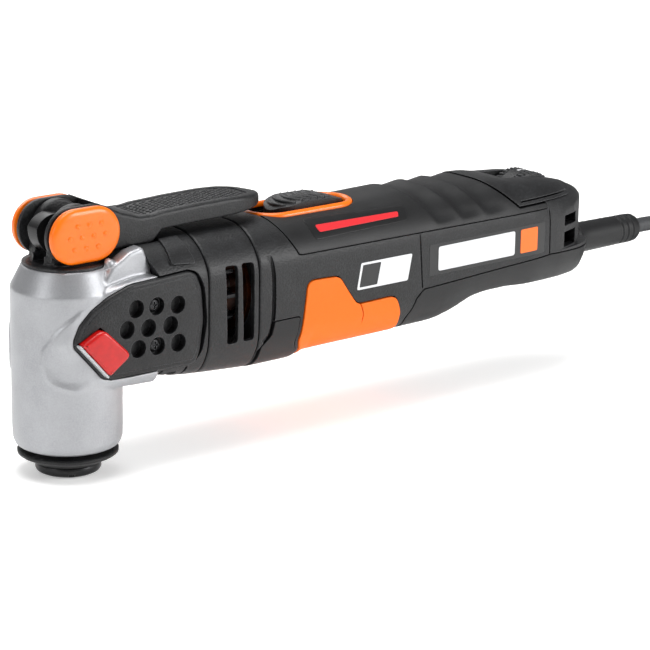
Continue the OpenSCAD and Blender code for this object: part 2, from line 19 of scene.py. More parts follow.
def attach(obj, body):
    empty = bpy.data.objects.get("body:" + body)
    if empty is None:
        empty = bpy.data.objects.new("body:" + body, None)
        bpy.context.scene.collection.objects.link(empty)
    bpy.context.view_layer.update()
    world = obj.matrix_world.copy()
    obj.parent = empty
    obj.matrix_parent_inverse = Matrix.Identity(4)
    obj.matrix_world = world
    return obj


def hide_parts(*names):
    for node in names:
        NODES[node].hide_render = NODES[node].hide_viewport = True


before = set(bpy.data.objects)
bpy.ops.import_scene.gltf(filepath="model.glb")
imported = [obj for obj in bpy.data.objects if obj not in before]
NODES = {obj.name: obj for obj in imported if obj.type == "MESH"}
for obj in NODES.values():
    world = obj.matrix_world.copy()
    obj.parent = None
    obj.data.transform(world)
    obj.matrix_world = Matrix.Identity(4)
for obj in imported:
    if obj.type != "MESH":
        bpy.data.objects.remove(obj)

log = logging.getLogger("multi_tool")

Outline = list[tuple[float, float]]
Point = tuple[float, float, float]
Points = Sequence[Sequence[float]]
Socket = bpy.types.NodeSocket
Tree = bpy.types.NodeTree
Swell = Callable[[float, np.ndarray], np.ndarray]

METRES = 0.001
SHARP_ANGLE = math.radians(34)
SEAM = 0.5
# How far a cutter that passes through the whole body goes to either side of its middle.
CLEAR = 40
# The ground under the tool, a hair below its lowest piece, in metres.
GROUND_METRES = -0.0046


class Axis(Enum):
    """The direction that an outline is drawn out along."""

    X = 0
    Y = 1
    Z = 2


class Body(Enum):
    """The CAD bodies that pieces ride on."""

    ROOT = "root"
    SPINDLE = "spindle"
    CLAMP = "clamp"
    LEVER = "lever"
    BUTTON_LEFT = "button_left"
    BUTTON_RIGHT = "button_right"
    SWITCH = "switch"
    DIAL = "dial"


# ---------- finishes ----------


def linear(hexa: str) -> tuple[float, float, float, float]:
    """Turns an sRGB hex value to linear light.

    Args:
        hexa: six hex digits, with or without a leading hash.

    Returns:
        Red, green, blue and an alpha of one.
    """
    values = [int(hexa.lstrip("#")[k : k + 2], 16) / 255 for k in (0, 2, 4)]
    light = [v / 12.92 if v <= 0.04045 else ((v + 0.055) / 1.055) ** 2.4 for v in values]
    return light[0], light[1], light[2], 1.0


def per_mm(size: float) -> float:
    """Texture scale on metre coordinates that gives features of this size in millimetres."""
    return 1.0 / (size * METRES)


def add_node(
    tree: Tree,
    kind: str,
    settings: dict[Any, Any] | None = None,
    links: dict[Any, Socket] | None = None,
) -> bpy.types.Node:
    """Adds a node with its settings and links.

    Args:
        tree: the node tree that it goes in.
        kind: the node's type name.
        settings: input defaults by socket name or index, or properties of the node.
        links: sockets that feed its inputs, by name or index.

    Returns:
        The new node.
    """
    node = tree.nodes.new(kind)
    for key, value in (settings or {}).items():
        if isinstance(key, int) or key in node.inputs:
            node.inputs[key].default_value = value
        else:
            setattr(node, key, value)
    for key, socket in (links or {}).items():
        tree.links.new(socket, node.inputs[key])
    return node


class Texture(Enum):
    """How a surface was made, which decides its fine detail."""

    MOULDED = "moulded"
    CAST = "cast"
    BRUSHED = "brushed"
    WOUND = "wound"
    STACKED = "stacked"
    PRINTED = "printed"


@dataclass(frozen=True)
class Finish:
    """One real material and the way that its surface was made.

    Attributes:
        name: the material's common name and make.
        base: main colour.
        fleck: colour of its mottle, grain or dust; on the black nylon, painted glints of its
            textured face.
        fleck_share: how much of the fleck colour shows, from 0 to 1.
        mottle_mm: size of its broad, faint variation.
        grain_mm: size of its fine grain.
        grain_depth: height of the grain, in millimetres.
        rough: mean roughness.
        rough_spread: how far the roughness wanders either way.
        metal: metallic share.
        coat: weight of a clear top layer.
        ior: index of refraction, left out on metals.
        edge: colour of the lighter edges, partly rubbing wear and partly a painted edge highlight.
        edge_share: how strongly that wear and painted edge highlight show.
        edge_mm: radius that light finds on its edges.
        clear: how much light passes through.
        texture: how the surface was made.
    """

    name: str
    base: str
    fleck: str
    fleck_share: float = 0.25
    mottle_mm: float = 9.0
    grain_mm: float = 0.7
    grain_depth: float = 0.04
    rough: float = 0.5
    rough_spread: float = 0.08
    metal: float = 0.0
    coat: float = 0.0
    ior: float = 1.5
    edge: str = "#6A6B6D"
    edge_share: float = 0.0
    edge_mm: float = 0.35
    clear: float = 0.0
    texture: Texture = Texture.MOULDED

    def material(self) -> bpy.types.Material:
        """Makes the material once, and gives the same one after that.

        Returns:
            The material.
        """
        found = bpy.data.materials.get(self.name)
        if found:
            return found
        made = bpy.data.materials.new(self.name)
        made.use_nodes = True
        tree = made.node_tree
        tree.nodes.clear()
        place = add_node(tree, "ShaderNodeTexCoord").outputs["Object"]
        mottle = self.noise(tree, place, self.mottle_mm, 3.0)
        grain = self.grain(tree, place)
        colour = self.colour(tree, mottle, grain)
        rough = add_node(
            tree,
            "ShaderNodeMapRange",
            {
                "To Min": max(0.03, self.rough - self.rough_spread),
                "To Max": min(1.0, self.rough + self.rough_spread),
            },
            {"Value": mottle},
        ).outputs["Result"]
        rounded = add_node(
            tree, "ShaderNodeBevel", {"samples": 4, "Radius": self.edge_mm * METRES}
        ).outputs["Normal"]
        # Lighter edges: partly rubbing wear, partly a painted edge highlight.
        if self.edge_share > 0:
            colour = self.rubbed(tree, colour, rounded, grain)
        normal = add_node(
            tree,
            "ShaderNodeBump",
            {"Strength": 1.0, "Distance": self.grain_depth * METRES},
            {"Height": grain, "Normal": rounded},
        ).outputs["Normal"]
        shader = add_node(
            tree,
            "ShaderNodeBsdfPrincipled",
            {"Metallic": self.metal, "Coat Weight": self.coat, "Coat Roughness": 0.12},
            {"Base Color": colour, "Roughness": rough, "Normal": normal},
        )
        if self.metal == 0:
            shader.inputs["IOR"].default_value = self.ior
        if self.clear > 0:
            shader.inputs["Transmission Weight"].default_value = self.clear
        add_node(tree, "ShaderNodeOutputMaterial", links={"Surface": shader.outputs["BSDF"]})
        return made

    def noise(self, tree: Tree, place: Socket, size: float, detail: float) -> Socket:
        """Adds even noise of a given feature size.

        Args:
            tree: the material's tree.
            place: coordinates in metres.
            size: feature size in millimetres.
            detail: octaves of finer noise.

        Returns:
            The noise value.
        """
        return add_node(
            tree,
            "ShaderNodeTexNoise",
            {"Scale": per_mm(size), "Detail": detail, "Roughness": 0.55},
            {"Vector": place},
        ).outputs["Fac"]

    def grain(self, tree: Tree, place: Socket) -> Socket:
        """Adds the fine surface pattern that the make of the surface leaves.

        Args:
            tree: the material's tree.
            place: coordinates in metres.

        Returns:
            The pattern's height from 0 to 1.
        """
        if self.texture is Texture.BRUSHED:
            drawn = add_node(
                tree, "ShaderNodeMapping", {"Scale": (1.0, 1.0, 0.04)}, {"Vector": place}
            ).outputs["Vector"]
            return self.noise(tree, drawn, self.grain_mm, 2.0)
        if self.texture in (Texture.WOUND, Texture.STACKED):
            return add_node(
                tree,
                "ShaderNodeTexWave",
                {
                    "bands_direction": "X" if self.texture is Texture.STACKED else "DIAGONAL",
                    "Scale": per_mm(self.grain_mm) / 20,
                    "Distortion": 0.4 if self.texture is Texture.WOUND else 0.0,
                },
                {"Vector": place},
            ).outputs["Fac"]
        if self.texture in (Texture.CAST, Texture.PRINTED):
            detail = 4.0 if self.texture is Texture.CAST else 1.0
            return self.noise(tree, place, self.grain_mm, detail)
        return add_node(
            tree,
            "ShaderNodeTexVoronoi",
            {"Scale": per_mm(self.grain_mm), "Randomness": 1.0},
            {"Vector": place},
        ).outputs["Distance"]

    def colour(self, tree: Tree, mottle: Socket, grain: Socket) -> Socket:
        """Mixes the base colour with its flecks.

        Args:
            tree: the material's tree.
            mottle: broad noise.
            grain: the fine pattern.

        Returns:
            The mixed colour.
        """
        product = add_node(
            tree, "ShaderNodeMath", {"operation": "MULTIPLY"}, {0: mottle, 1: grain}
        ).outputs[0]
        share = add_node(
            tree,
            "ShaderNodeMapRange",
            {"From Min": 0.08, "From Max": 0.5, "To Max": self.fleck_share},
            {"Value": product},
        ).outputs["Result"]
        mix = add_node(
            tree,
            "ShaderNodeMix",
            {"data_type": "RGBA", 6: linear(self.base), 7: linear(self.fleck)},
            {0: share},
        )
        return mix.outputs[2]

    def rubbed(self, tree: Tree, colour: Socket, rounded: Socket, grain: Socket) -> Socket:
        """Lightens the edges: partly the wear that hands and benches rub, partly a painted edge
        highlight.

        Args:
            tree: the material's tree.
            colour: the surface colour.
            rounded: the normal with its edges rounded.
            grain: the fine pattern, which breaks the wear and the painted highlight up.

        Returns:
            The colour with worn edges and painted edge highlights.
        """
        flat = add_node(tree, "ShaderNodeNewGeometry").outputs["Normal"]
        agree = add_node(
            tree, "ShaderNodeVectorMath", {"operation": "DOT_PRODUCT"}, {0: flat, 1: rounded}
        ).outputs["Value"]
        worn_and_highlit = add_node(
            tree,
            "ShaderNodeMapRange",
            {"From Min": 0.995, "From Max": 0.86, "To Max": self.edge_share},
            {"Value": agree},
        ).outputs["Result"]
        broken = add_node(
            tree,
            "ShaderNodeMath",
            {"operation": "MULTIPLY", "use_clamp": True},
            {0: worn_and_highlit, 1: grain},
        ).outputs[0]
        mix = add_node(
            tree,
            "ShaderNodeMix",
            {"data_type": "RGBA", 7: linear(self.edge)},
            {0: broken, 6: colour},
        )
        return mix.outputs[2]


# Each edge colour below lightens the edges, partly as rubbing wear and partly as a painted edge
# highlight.
# Shot-blasted cast aluminium: satin silver with a fine bright grain and no mirror.
CAST_ALUMINIUM = Finish(
    "shot_blasted_cast_aluminium", "#A8A9AC", "#7F8184", 0.5, 14.0, 0.7, 0.07, 0.44, 0.05,
    metal=0.75, edge="#D6D7D9", edge_share=0.45, edge_mm=0.6, texture=Texture.CAST,
)
# Glass-filled nylon from a spark-eroded mould: dark grey and dry; its light specks are painted
# glints off the textured face.
BLACK_NYLON = Finish(
    "spark_textured_black_nylon", "#0E0E0F", "#2B2C2E", 0.55, 6.0, 0.8, 0.08, 0.43, 0.07,
    ior=1.4, edge="#606164", edge_share=0.7, edge_mm=0.5,
)
# Soft over-moulded elastomer: matt black with a faint bloom.
SOFT_GRIP = Finish(
    "soft_black_elastomer", "#0D0D0E", "#1D1E20", 0.4, 11.0, 0.55, 0.035, 0.48, 0.07,
    ior=1.4, edge="#4C4D50", edge_share=0.45, edge_mm=0.6,
)
# Gloss-moulded ABS: the lever buttons and the switch surround.
ORANGE_ABS = Finish(
    "orange_moulded_abs", "#F06E00", "#E06400", 0.3, 18.0, 1.4, 0.012, 0.33, 0.05,
    coat=0.2, ior=1.4, edge="#FF9B45", edge_share=0.2, edge_mm=0.5,
)
# Orange elastomer inlay: satin, a little warmer in its hollows.
ORANGE_SOFT = Finish(
    "orange_elastomer", "#EE6900", "#DF5E00", 0.3, 16.0, 0.9, 0.02, 0.52, 0.06,
    ior=1.36, edge="#FF9240", edge_share=0.15, edge_mm=0.7,
)
# Tinted polycarbonate with a polished mould face.
RED_POLYCARBONATE = Finish(
    "red_polished_polycarbonate", "#BE0D0A", "#8E0708", 0.35, 12.0, 2.0, 0.008, 0.3, 0.04,
    coat=0.2, ior=1.45, edge="#E04038", edge_share=0.3, edge_mm=0.5,
)
# Frosted clear polycarbonate: lets the lamp's light out.
CLEAR_LENS = Finish(
    "frosted_clear_polycarbonate", "#F2F5F7", "#D5DCE0", 0.3, 5.0, 0.6, 0.02, 0.24, 0.05,
    ior=1.58, clear=0.55,
)
# Oxide-blackened steel: the clamp flange and the screws.
BLACK_STEEL = Finish(
    "oxide_blackened_steel", "#242527", "#3D3A38", 0.5, 5.0, 0.5, 0.015, 0.36, 0.08,
    metal=0.75, edge="#8B8D90", edge_share=0.7, edge_mm=0.4, texture=Texture.CAST,
)
# Ground bearing steel: bright with fine turning lines.
GROUND_STEEL = Finish(
    "ground_bearing_steel", "#A9ACB0", "#7E8185", 0.4, 8.0, 0.35, 0.01, 0.27, 0.06,
    metal=1.0, texture=Texture.BRUSHED,
)
# Enamelled copper wire, wound in close turns.
COPPER_WIRE = Finish(
    "enamelled_copper_wire", "#5E2E15", "#30160A", 0.5, 6.0, 0.8, 0.12, 0.34, 0.06,
    metal=0.7, texture=Texture.WOUND,
)
# Stamped electrical steel, stacked in thin sheets.
SHEET_STACK = Finish(
    "stacked_electrical_steel", "#6F7377", "#3C3F42", 0.5, 7.0, 0.7, 0.06, 0.42, 0.06,
    metal=0.9, texture=Texture.STACKED,
)
# Cartridge brass, drawn.
BRASS = Finish(
    "drawn_cartridge_brass", "#C19A49", "#8A6A28", 0.35, 6.0, 0.5, 0.01, 0.3, 0.06,
    metal=1.0, texture=Texture.BRUSHED,
)
# Pressed carbon: dark and dusty.
CARBON = Finish(
    "pressed_carbon", "#232427", "#3A3B3F", 0.5, 2.5, 0.3, 0.03, 0.62, 0.08,
    texture=Texture.CAST,
)
# Glass-epoxy circuit board under solder resist.
CIRCUIT_BOARD = Finish(
    "solder_resist_circuit_board", "#1F6B3C", "#3E8E58", 0.5, 4.0, 0.6, 0.02, 0.34, 0.08,
    coat=0.3, texture=Texture.PRINTED,
)
# Pad-printed inks and foils on the housing.
WHITE_PRINT = Finish(
    "white_satin_label_film", "#DADBDD", "#C8CACD", 0.35, 8.0, 0.8, 0.008, 0.36, 0.05,
    edge_mm=0.2, texture=Texture.PRINTED,
)
ORANGE_PRINT = Finish(
    "orange_satin_label_film", "#EE6900", "#DF5E00", 0.3, 8.0, 0.8, 0.008, 0.36, 0.05,
    edge_mm=0.2, texture=Texture.PRINTED,
)
RED_PRINT = Finish(
    "red_pad_print", "#CE2129", "#AE1620", 0.3, 6.0, 0.7, 0.01, 0.42, 0.05,
    edge_mm=0.2, texture=Texture.PRINTED,
)
BLACK_PRINT = Finish(
    "gloss_black_label_film", "#101011", "#1B1C1D", 0.3, 8.0, 0.8, 0.008, 0.3, 0.05,
    edge_mm=0.2, texture=Texture.PRINTED,
)
# Extruded PVC jacket of the mains lead: even, slightly waxy.
CORD_JACKET = Finish(
    "extruded_pvc_cord_jacket", "#2B2C2E", "#414346", 0.35, 12.0, 1.1, 0.02, 0.48, 0.06,
)


# ---------- outlines ----------


def rounded(outline: Outline, radius: float | Sequence[float], steps: int = 5) -> Outline:
    """Rounds the corners of a closed outline.

    Args:
        outline: corner points.
        radius: one radius, or one for each corner.
        steps: points on each corner.

    Returns:
        The outline with curved corners.
    """
    count = len(outline)
    radii = [radius] * count if isinstance(radius, (int, float)) else list(radius)
    made: Outline = []
    for k in range(count):
        here = np.array(outline[k], float)
        back = np.array(outline[k - 1], float) - here
        ahead = np.array(outline[(k + 1) % count], float) - here
        back_len, ahead_len = np.linalg.norm(back), np.linalg.norm(ahead)
        back, ahead = back / back_len, ahead / ahead_len
        angle = math.acos(float(np.clip(back @ ahead, -1, 1)))
        reach = min(radii[k] / max(math.tan(angle / 2), 1e-3), 0.47 * back_len, 0.47 * ahead_len)
        if reach < 0.02 or angle > math.radians(178):
            made.append((float(here[0]), float(here[1])))
            continue
        for t in np.linspace(0, 1, steps):
            point = (1 - t) ** 2 * (here + back * reach) + 2 * t * (1 - t) * here
            point = point + t**2 * (here + ahead * reach)
            made.append((float(point[0]), float(point[1])))
    return made


def offset(outline: Outline, inward: float) -> Outline:
    """Moves a closed outline in or out by an even distance.

    Args:
        outline: the points.
        inward: how far in, or out where it is negative.

    Returns:
        The moved outline, point for point.
    """
    p = np.array(outline, float)
    nxt, prv = np.roll(p, -1, 0), np.roll(p, 1, 0)
    area = np.sum(p[:, 0] * nxt[:, 1] - nxt[:, 0] * p[:, 1])
    ahead, back = nxt - p, p - prv
    ahead /= np.maximum(np.linalg.norm(ahead, axis=1, keepdims=True), 1e-9)
    back /= np.maximum(np.linalg.norm(back, axis=1, keepdims=True), 1e-9)
    turn = np.sign(area)
    n1 = turn * np.stack([-ahead[:, 1], ahead[:, 0]], 1)
    n2 = turn * np.stack([-back[:, 1], back[:, 0]], 1)
    mean = n1 + n2
    mean /= np.maximum(np.sum(mean * mean, axis=1, keepdims=True) / 2, 0.35)
    return [tuple(q) for q in p + inward * mean]


def stadium(x: float, z: float, half_long: float, radius: float, steps: int = 14) -> Outline:
    """Outline with straight sides and round ends, long along its first axis.

    Args:
        x: middle along the first axis.
        z: middle along the second axis.
        half_long: half its length, over the round ends.
        radius: radius of its ends.
        steps: points on each end.

    Returns:
        The outline.
    """
    turn = np.linspace(-math.pi / 2, math.pi / 2, steps)
    run = half_long - radius
    right = [(x + run + radius * math.cos(a), z + radius * math.sin(a)) for a in turn]
    left = [(x - run - radius * math.cos(a), z - radius * math.sin(a)) for a in turn]
    return right + left


def disc(x: float, z: float, radius: float, steps: int = 40) -> Outline:
    """Round outline."""
    turn = np.linspace(0, 2 * math.pi, steps, endpoint=False)
    return [(x + radius * math.cos(a), z + radius * math.sin(a)) for a in turn]


def band(line: Outline, width: float) -> Outline:
    """Closed outline of an open line drawn with a pen.

    Args:
        line: points of the line.
        width: width of the pen.

    Returns:
        The outline.
    """
    p = np.array(line, float)
    way = np.gradient(p, axis=0)
    way /= np.linalg.norm(way, axis=1, keepdims=True)
    side = np.stack([-way[:, 1], way[:, 0]], 1) * width / 2
    return [tuple(q) for q in np.concatenate([p + side, (p - side)[::-1]])]


def curve_through(points: Points, steps: int) -> np.ndarray:
    """Smooth line through the given points.

    Args:
        points: places to pass through.
        steps: points made between each two.

    Returns:
        The points of the line.
    """
    p = np.array(points, float)
    p = np.concatenate([[2 * p[0] - p[1]], p, [2 * p[-1] - p[-2]]])
    made = []
    for k in range(1, len(p) - 2):
        a, b, c, d = p[k - 1 : k + 3]
        for t in np.linspace(0, 1, steps, endpoint=False):
            made.append(
                0.5 * (2 * b + (c - a) * t + (2 * a - 5 * b + 4 * c - d) * t**2
                       + (3 * b - a - 3 * c + d) * t**3)
            )
    made.append(p[-2])
    return np.array(made)


def levelled(table: Outline, x: float, blur: float) -> float:
    """Reads a table of (x, value) at x, with its corners blurred over a distance."""
    xs, values = zip(*table)
    return float(np.mean(np.interp(x + np.linspace(-blur, blur, 9), xs, values)))


# ---------- solids ----------


class Solid:
    """A closed mesh in the making, in millimetres."""

    def __init__(self, points: Points, faces: Sequence[Sequence[int]]) -> None:
        """Makes the mesh and turns its faces outwards.

        Args:
            points: corner points.
            faces: rows of point numbers.
        """
        mesh = bpy.data.meshes.new("work")
        mesh.from_pydata([tuple(map(float, p)) for p in points], [], [list(f) for f in faces])
        work = bmesh.new()
        work.from_mesh(mesh)
        bmesh.ops.remove_doubles(work, verts=work.verts, dist=1e-4)
        bmesh.ops.recalc_face_normals(work, faces=work.faces)
        work.to_mesh(mesh)
        work.free()
        self.take(mesh)

    def take(self, mesh: bpy.types.Mesh) -> None:
        """Puts a mesh in the scene as this solid's own."""
        self.obj = bpy.data.objects.new("work", mesh)
        bpy.context.scene.collection.objects.link(self.obj)

    @classmethod
    def of(cls, mesh: bpy.types.Mesh) -> "Solid":
        """Makes a solid of a mesh that is already finished.

        Args:
            mesh: the mesh, which it takes over.

        Returns:
            The solid.
        """
        solid = cls.__new__(cls)
        solid.take(mesh)
        return solid

    def apply(self, kind: str, **settings: Any) -> "Solid":
        """Applies one modifier.

        Args:
            kind: the modifier's type.
            settings: its properties.

        Returns:
            The same solid.
        """
        modifier = self.obj.modifiers.new("step", kind)
        for key, value in settings.items():
            setattr(modifier, key, value)
        graph = bpy.context.evaluated_depsgraph_get()
        made = bpy.data.meshes.new_from_object(self.obj.evaluated_get(graph))
        self.obj.modifiers.remove(modifier)
        old = self.obj.data
        self.obj.data = made
        bpy.data.meshes.remove(old)
        return self

    def combine(self, how: str, others: Sequence["Solid"]) -> "Solid":
        """Joins, cuts or intersects with other solids, and uses them up.

        Args:
            how: UNION, DIFFERENCE or INTERSECT.
            others: the other solids.

        Returns:
            The same solid.
        """
        for other in others:
            self.apply("BOOLEAN", operation=how, object=other.obj, solver="MANIFOLD")
            other.drop()
        return self

    def join(self, *others: "Solid") -> "Solid":
        """Adds other solids to this one."""
        return self.combine("UNION", others)

    def cut(self, *others: "Solid") -> "Solid":
        """Takes other solids away from this one."""
        return self.combine("DIFFERENCE", others)

    def keep(self, *others: "Solid") -> "Solid":
        """Keeps what lies in the other solids too."""
        return self.combine("INTERSECT", others)

    def copy(self) -> "Solid":
        """A second solid of the same shape."""
        return Solid.of(self.obj.data.copy())

    def mirrored(self) -> "Solid":
        """Makes its mirror image on the other side, with the faces turned outwards.

        Returns:
            The mirror image.
        """
        twin = self.copy()
        twin.obj.data.transform(Matrix.Scale(-1, 4, (0, 1, 0)))
        twin.obj.data.flip_normals()
        return twin

    def moved(self, matrix: Matrix) -> "Solid":
        """Moves its points by a matrix."""
        self.obj.data.transform(matrix)
        return self

    def smooth(self, passes: int, factor: float = 0.5) -> "Solid":
        """Evens the surface out."""
        return self.apply("SMOOTH", iterations=passes, factor=factor)

    def cast(self, voxel: float, passes: int) -> "Solid":
        """Remeshes to an even skin and softens its corners, as a casting has.

        Args:
            voxel: size of the new faces.
            passes: how often it is evened out.

        Returns:
            The same solid.
        """
        self.apply("REMESH", mode="VOXEL", voxel_size=voxel, use_smooth_shade=True)
        return self.smooth(passes)

    def drop(self) -> None:
        """Removes it."""
        mesh = self.obj.data
        bpy.data.objects.remove(self.obj)
        bpy.data.meshes.remove(mesh)

    def emit(
        self,
        name: str,
        finish: Finish,
        slot: str,
        body: Body = Body.ROOT,
        nodes: Sequence[str] = (),
        sharp: float = SHARP_ANGLE,
    ) -> bpy.types.Object:
        """Turns the solid into a finished piece, in metres.

        Args:
            name: the piece's name.
            finish: what it is made of.
            slot: not used.
            body: the body that it rides on.
            nodes: CAD nodes that it stands for.
            sharp: angle past which an edge stays sharp.

        Returns:
            The piece.
        """
        piece = self.obj
        piece.name = name
        piece.data.name = name
        piece.data.transform(Matrix.Scale(METRES, 4))
        piece.data.materials.clear()
        piece.data.materials.append(finish.material())
        piece.data.polygons.foreach_set("material_index", [0] * len(piece.data.polygons))
        piece.data.shade_smooth()
        piece.data.set_sharp_from_angle(angle=sharp)
        return settle(piece, body, nodes)


def settle(piece: bpy.types.Object, body: Body,
           nodes: Sequence[str]) -> bpy.types.Object:
    """Ties a piece to its body and the CAD nodes that it stands for.

    Args:
        piece: the piece.
        body: the body that it rides on.
        nodes: CAD nodes that it stands for.

    Returns:
        The piece.
    """
    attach(piece, body.value)
    if nodes:
        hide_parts(*nodes)
    log.info("%s on %s", piece.name, body.value)
    return piece


def lift(axis: Axis, outline: Outline, height: float) -> list[Point]:
    """Puts an outline into space.

    Args:
        axis: the direction that it is drawn out along.
        outline: points (x, z) for Y, (x, y) for Z and (y, z) for X.
        height: place along the axis.

    Returns:
        The points in space.
    """
    if axis is Axis.Y:
        return [(u, height, v) for u, v in outline]
    if axis is Axis.Z:
        return [(u, v, height) for u, v in outline]
    return [(height, u, v) for u, v in outline]


def loft(rings: Sequence[Points]) -> Solid:
    """Solid through rings with the same number of points.

    Args:
        rings: the rings, in order.

    Returns:
        The closed solid.
    """
    sides = len(rings[0])
    points = [p for ring in rings for p in ring]
    faces = [
        (a * sides + k, a * sides + (k + 1) % sides, (a + 1) * sides + (k + 1) % sides,
         (a + 1) * sides + k)
        for a in range(len(rings) - 1)
        for k in range(sides)
    ]
    faces.append(tuple(range(sides)))
    faces.append(tuple(range((len(rings) - 1) * sides, len(rings) * sides)))
    return Solid(points, faces)


def slab(
    outline: Outline,
    axis: Axis,
    low: float,
    high: float,
    roll_low: float = 0.0,
    roll_high: float = 0.0,
    steps: int = 5,
) -> Solid:
    """Draws an outline out, with rolled edges at its two faces.

    Args:
        outline: the outline.
        axis: the direction that it is drawn out along.
        low: place of the first face.
        high: place of the second face.
        roll_low: radius of the edge at the first face.
        roll_high: radius of the edge at the second face.
        steps: rings on each rolled edge.

    Returns:
        The solid.
    """
    rings = []
    for roll, face, way in ((roll_low, low, 1), (roll_high, high, -1)):
        turns = np.linspace(0, math.pi / 2, steps) if roll > 0 else [math.pi / 2]
        part = [
            lift(axis, offset(outline, roll * (1 - math.sin(a))),
                 face + way * roll * (1 - math.cos(a)))
            for a in turns
        ]
        rings += part if way > 0 else part[::-1]
    return loft(rings)


def lathe(
    profile: Outline, axis: Axis = Axis.Z, centre: tuple[float, float] = (0.0, 0.0), steps: int = 96
) -> Solid:
    """Turns a closed profile round an axis.

    Args:
        profile: points (radius, place along the axis); a radius of 0 closes a pole.
        axis: the turning axis.
        centre: where the axis passes through the other two directions.
        steps: points round the axis.

    Returns:
        The solid.
    """
    turn = np.linspace(0, 2 * math.pi, steps, endpoint=False)
    points = []
    for r, h in profile:
        ring = [(centre[0] + r * math.cos(a), centre[1] + r * math.sin(a)) for a in turn]
        points += lift(axis, ring, h)
    count = len(profile)
    faces = []
    for a in range(count):
        b = (a + 1) % count
        if profile[a][0] == 0 and profile[b][0] == 0:
            continue
        faces += [
            (a * steps + k, a * steps + (k + 1) % steps, b * steps + (k + 1) % steps, b * steps + k)
            for k in range(steps)
        ]
    return Solid(points, faces)


def rod(
    axis: Axis, low: float, high: float, radius: float, centre: tuple[float, float], steps: int = 48
) -> Solid:
    """Plain rod used as a cutter or a core."""
    return slab(disc(*centre, radius, steps), axis, low, high)


def block(low: Point, high: Point) -> Solid:
    """Plain block used as a cutter."""
    corners = [(low[0], low[1]), (high[0], low[1]), (high[0], high[1]), (low[0], high[1])]
    return slab(corners, Axis.Z, low[2], high[2])


def tube(path: np.ndarray, radius: float, sides: int = 16) -> Solid:
    """Round tube along a line.

    Args:
        path: the line's points.
        radius: the tube's radius.
        sides: points round it.

    Returns:
        The tube with closed ends.
    """
    way = np.gradient(path, axis=0)
    way /= np.linalg.norm(way, axis=1, keepdims=True)
    rings = []
    for p, t in zip(path, way):
        side = np.cross(t, (0, 0, 1.0))
        side = side / np.linalg.norm(side) if np.linalg.norm(side) > 1e-6 else np.array((1.0, 0, 0))
        up = np.cross(side, t)
        turn = np.linspace(0, 2 * math.pi, sides, endpoint=False)
        rings.append([p + radius * (math.cos(a) * side + math.sin(a) * up) for a in turn])
    return loft(rings)


# ---------- what repeats ----------


class Shape(Enum):
    """What is repeated at each point."""

    DOME = "dome"
    BAR = "bar"


@dataclass(frozen=True)
class Repeats:
    """Geometry Nodes tree that sets small domes or bars at given points.

    Attributes:
        shape: what is repeated.
        radius: radius of the dome or bar.
        height: height of the dome, or length of the bar.
        sides: faces round each.
    """

    shape: Shape
    radius: float
    height: float
    sides: int = 12

    def tree(self, finish: Finish) -> tuple[Tree, dict[str, str]]:
        """Builds the tree.

        Args:
            finish: the material that it sets.

        Returns:
            The tree and the identifiers of its named inputs.
        """
        tree = bpy.data.node_groups.new(f"repeat_{self.shape.value}", "GeometryNodeTree")
        face = tree.interface
        face.new_socket("Geometry", in_out="INPUT", socket_type="NodeSocketGeometry")
        names = {}
        for label in ("Radius", "Height"):
            socket = face.new_socket(label, in_out="INPUT", socket_type="NodeSocketFloat")
            names[label] = socket.identifier
        face.new_socket("Geometry", in_out="OUTPUT", socket_type="NodeSocketGeometry")
        source = add_node(tree, "NodeGroupInput")
        if self.shape is Shape.DOME:
            unit = add_node(
                tree, "GeometryNodeMeshUVSphere",
                {"Segments": self.sides, "Rings": self.sides // 2, "Radius": 1.0},
            ).outputs["Mesh"]
        else:
            unit = add_node(
                tree, "GeometryNodeMeshCylinder",
                {"Vertices": self.sides, "Side Segments": 1, "Radius": 1.0, "Depth": 1.0},
            ).outputs["Mesh"]
        size = add_node(
            tree, "ShaderNodeCombineXYZ",
            links={"X": source.outputs["Radius"], "Y": source.outputs["Radius"],
                   "Z": source.outputs["Height"]},
        ).outputs["Vector"]
        turn = add_node(
            tree, "GeometryNodeInputNamedAttribute", {"data_type": "FLOAT_VECTOR", "Name": "turn"}
        ).outputs["Attribute"]
        points = add_node(
            tree, "GeometryNodeMeshToPoints", links={"Mesh": source.outputs["Geometry"]}
        ).outputs["Points"]
        placed = add_node(
            tree, "GeometryNodeInstanceOnPoints",
            links={"Points": points, "Instance": unit, "Rotation": turn, "Scale": size},
        ).outputs["Instances"]
        real = add_node(
            tree, "GeometryNodeRealizeInstances", links={"Geometry": placed}
        ).outputs["Geometry"]
        dressed = add_node(
            tree, "GeometryNodeSetMaterial", {"Material": finish.material()}, {"Geometry": real}
        ).outputs["Geometry"]
        add_node(tree, "NodeGroupOutput", links={"Geometry": dressed})
        return tree, names

    def make(
        self,
        places: Sequence[Point],
        finish: Finish,
        turns: Sequence[Point] | Point = (0.0, 0.0, 0.0),
    ) -> Solid:
        """Sets the shapes and turns the result into a plain mesh.

        Args:
            places: the points.
            finish: the material.
            turns: one rotation, or one for each point, in radians.

        Returns:
            The shapes as one solid of separate parts.
        """
        mesh = bpy.data.meshes.new("places")
        mesh.from_pydata([tuple(map(float, p)) for p in places], [], [])
        rows = [turns] * len(places) if isinstance(turns[0], (int, float)) else turns
        store = mesh.attributes.new("turn", "FLOAT_VECTOR", "POINT")
        store.data.foreach_set("vector", [float(v) for row in rows for v in row])
        holder = Solid.of(mesh)
        tree, names = self.tree(finish)
        modifier = holder.obj.modifiers.new("repeat", "NODES")
        modifier.node_group = tree
        modifier[names["Radius"]] = float(self.radius)
        modifier[names["Height"]] = float(self.height)
        graph = bpy.context.evaluated_depsgraph_get()
        made = bpy.data.meshes.new_from_object(holder.obj.evaluated_get(graph))
        holder.obj.modifiers.remove(modifier)
        holder.obj.data = made
        bpy.data.meshes.remove(mesh)
        return holder


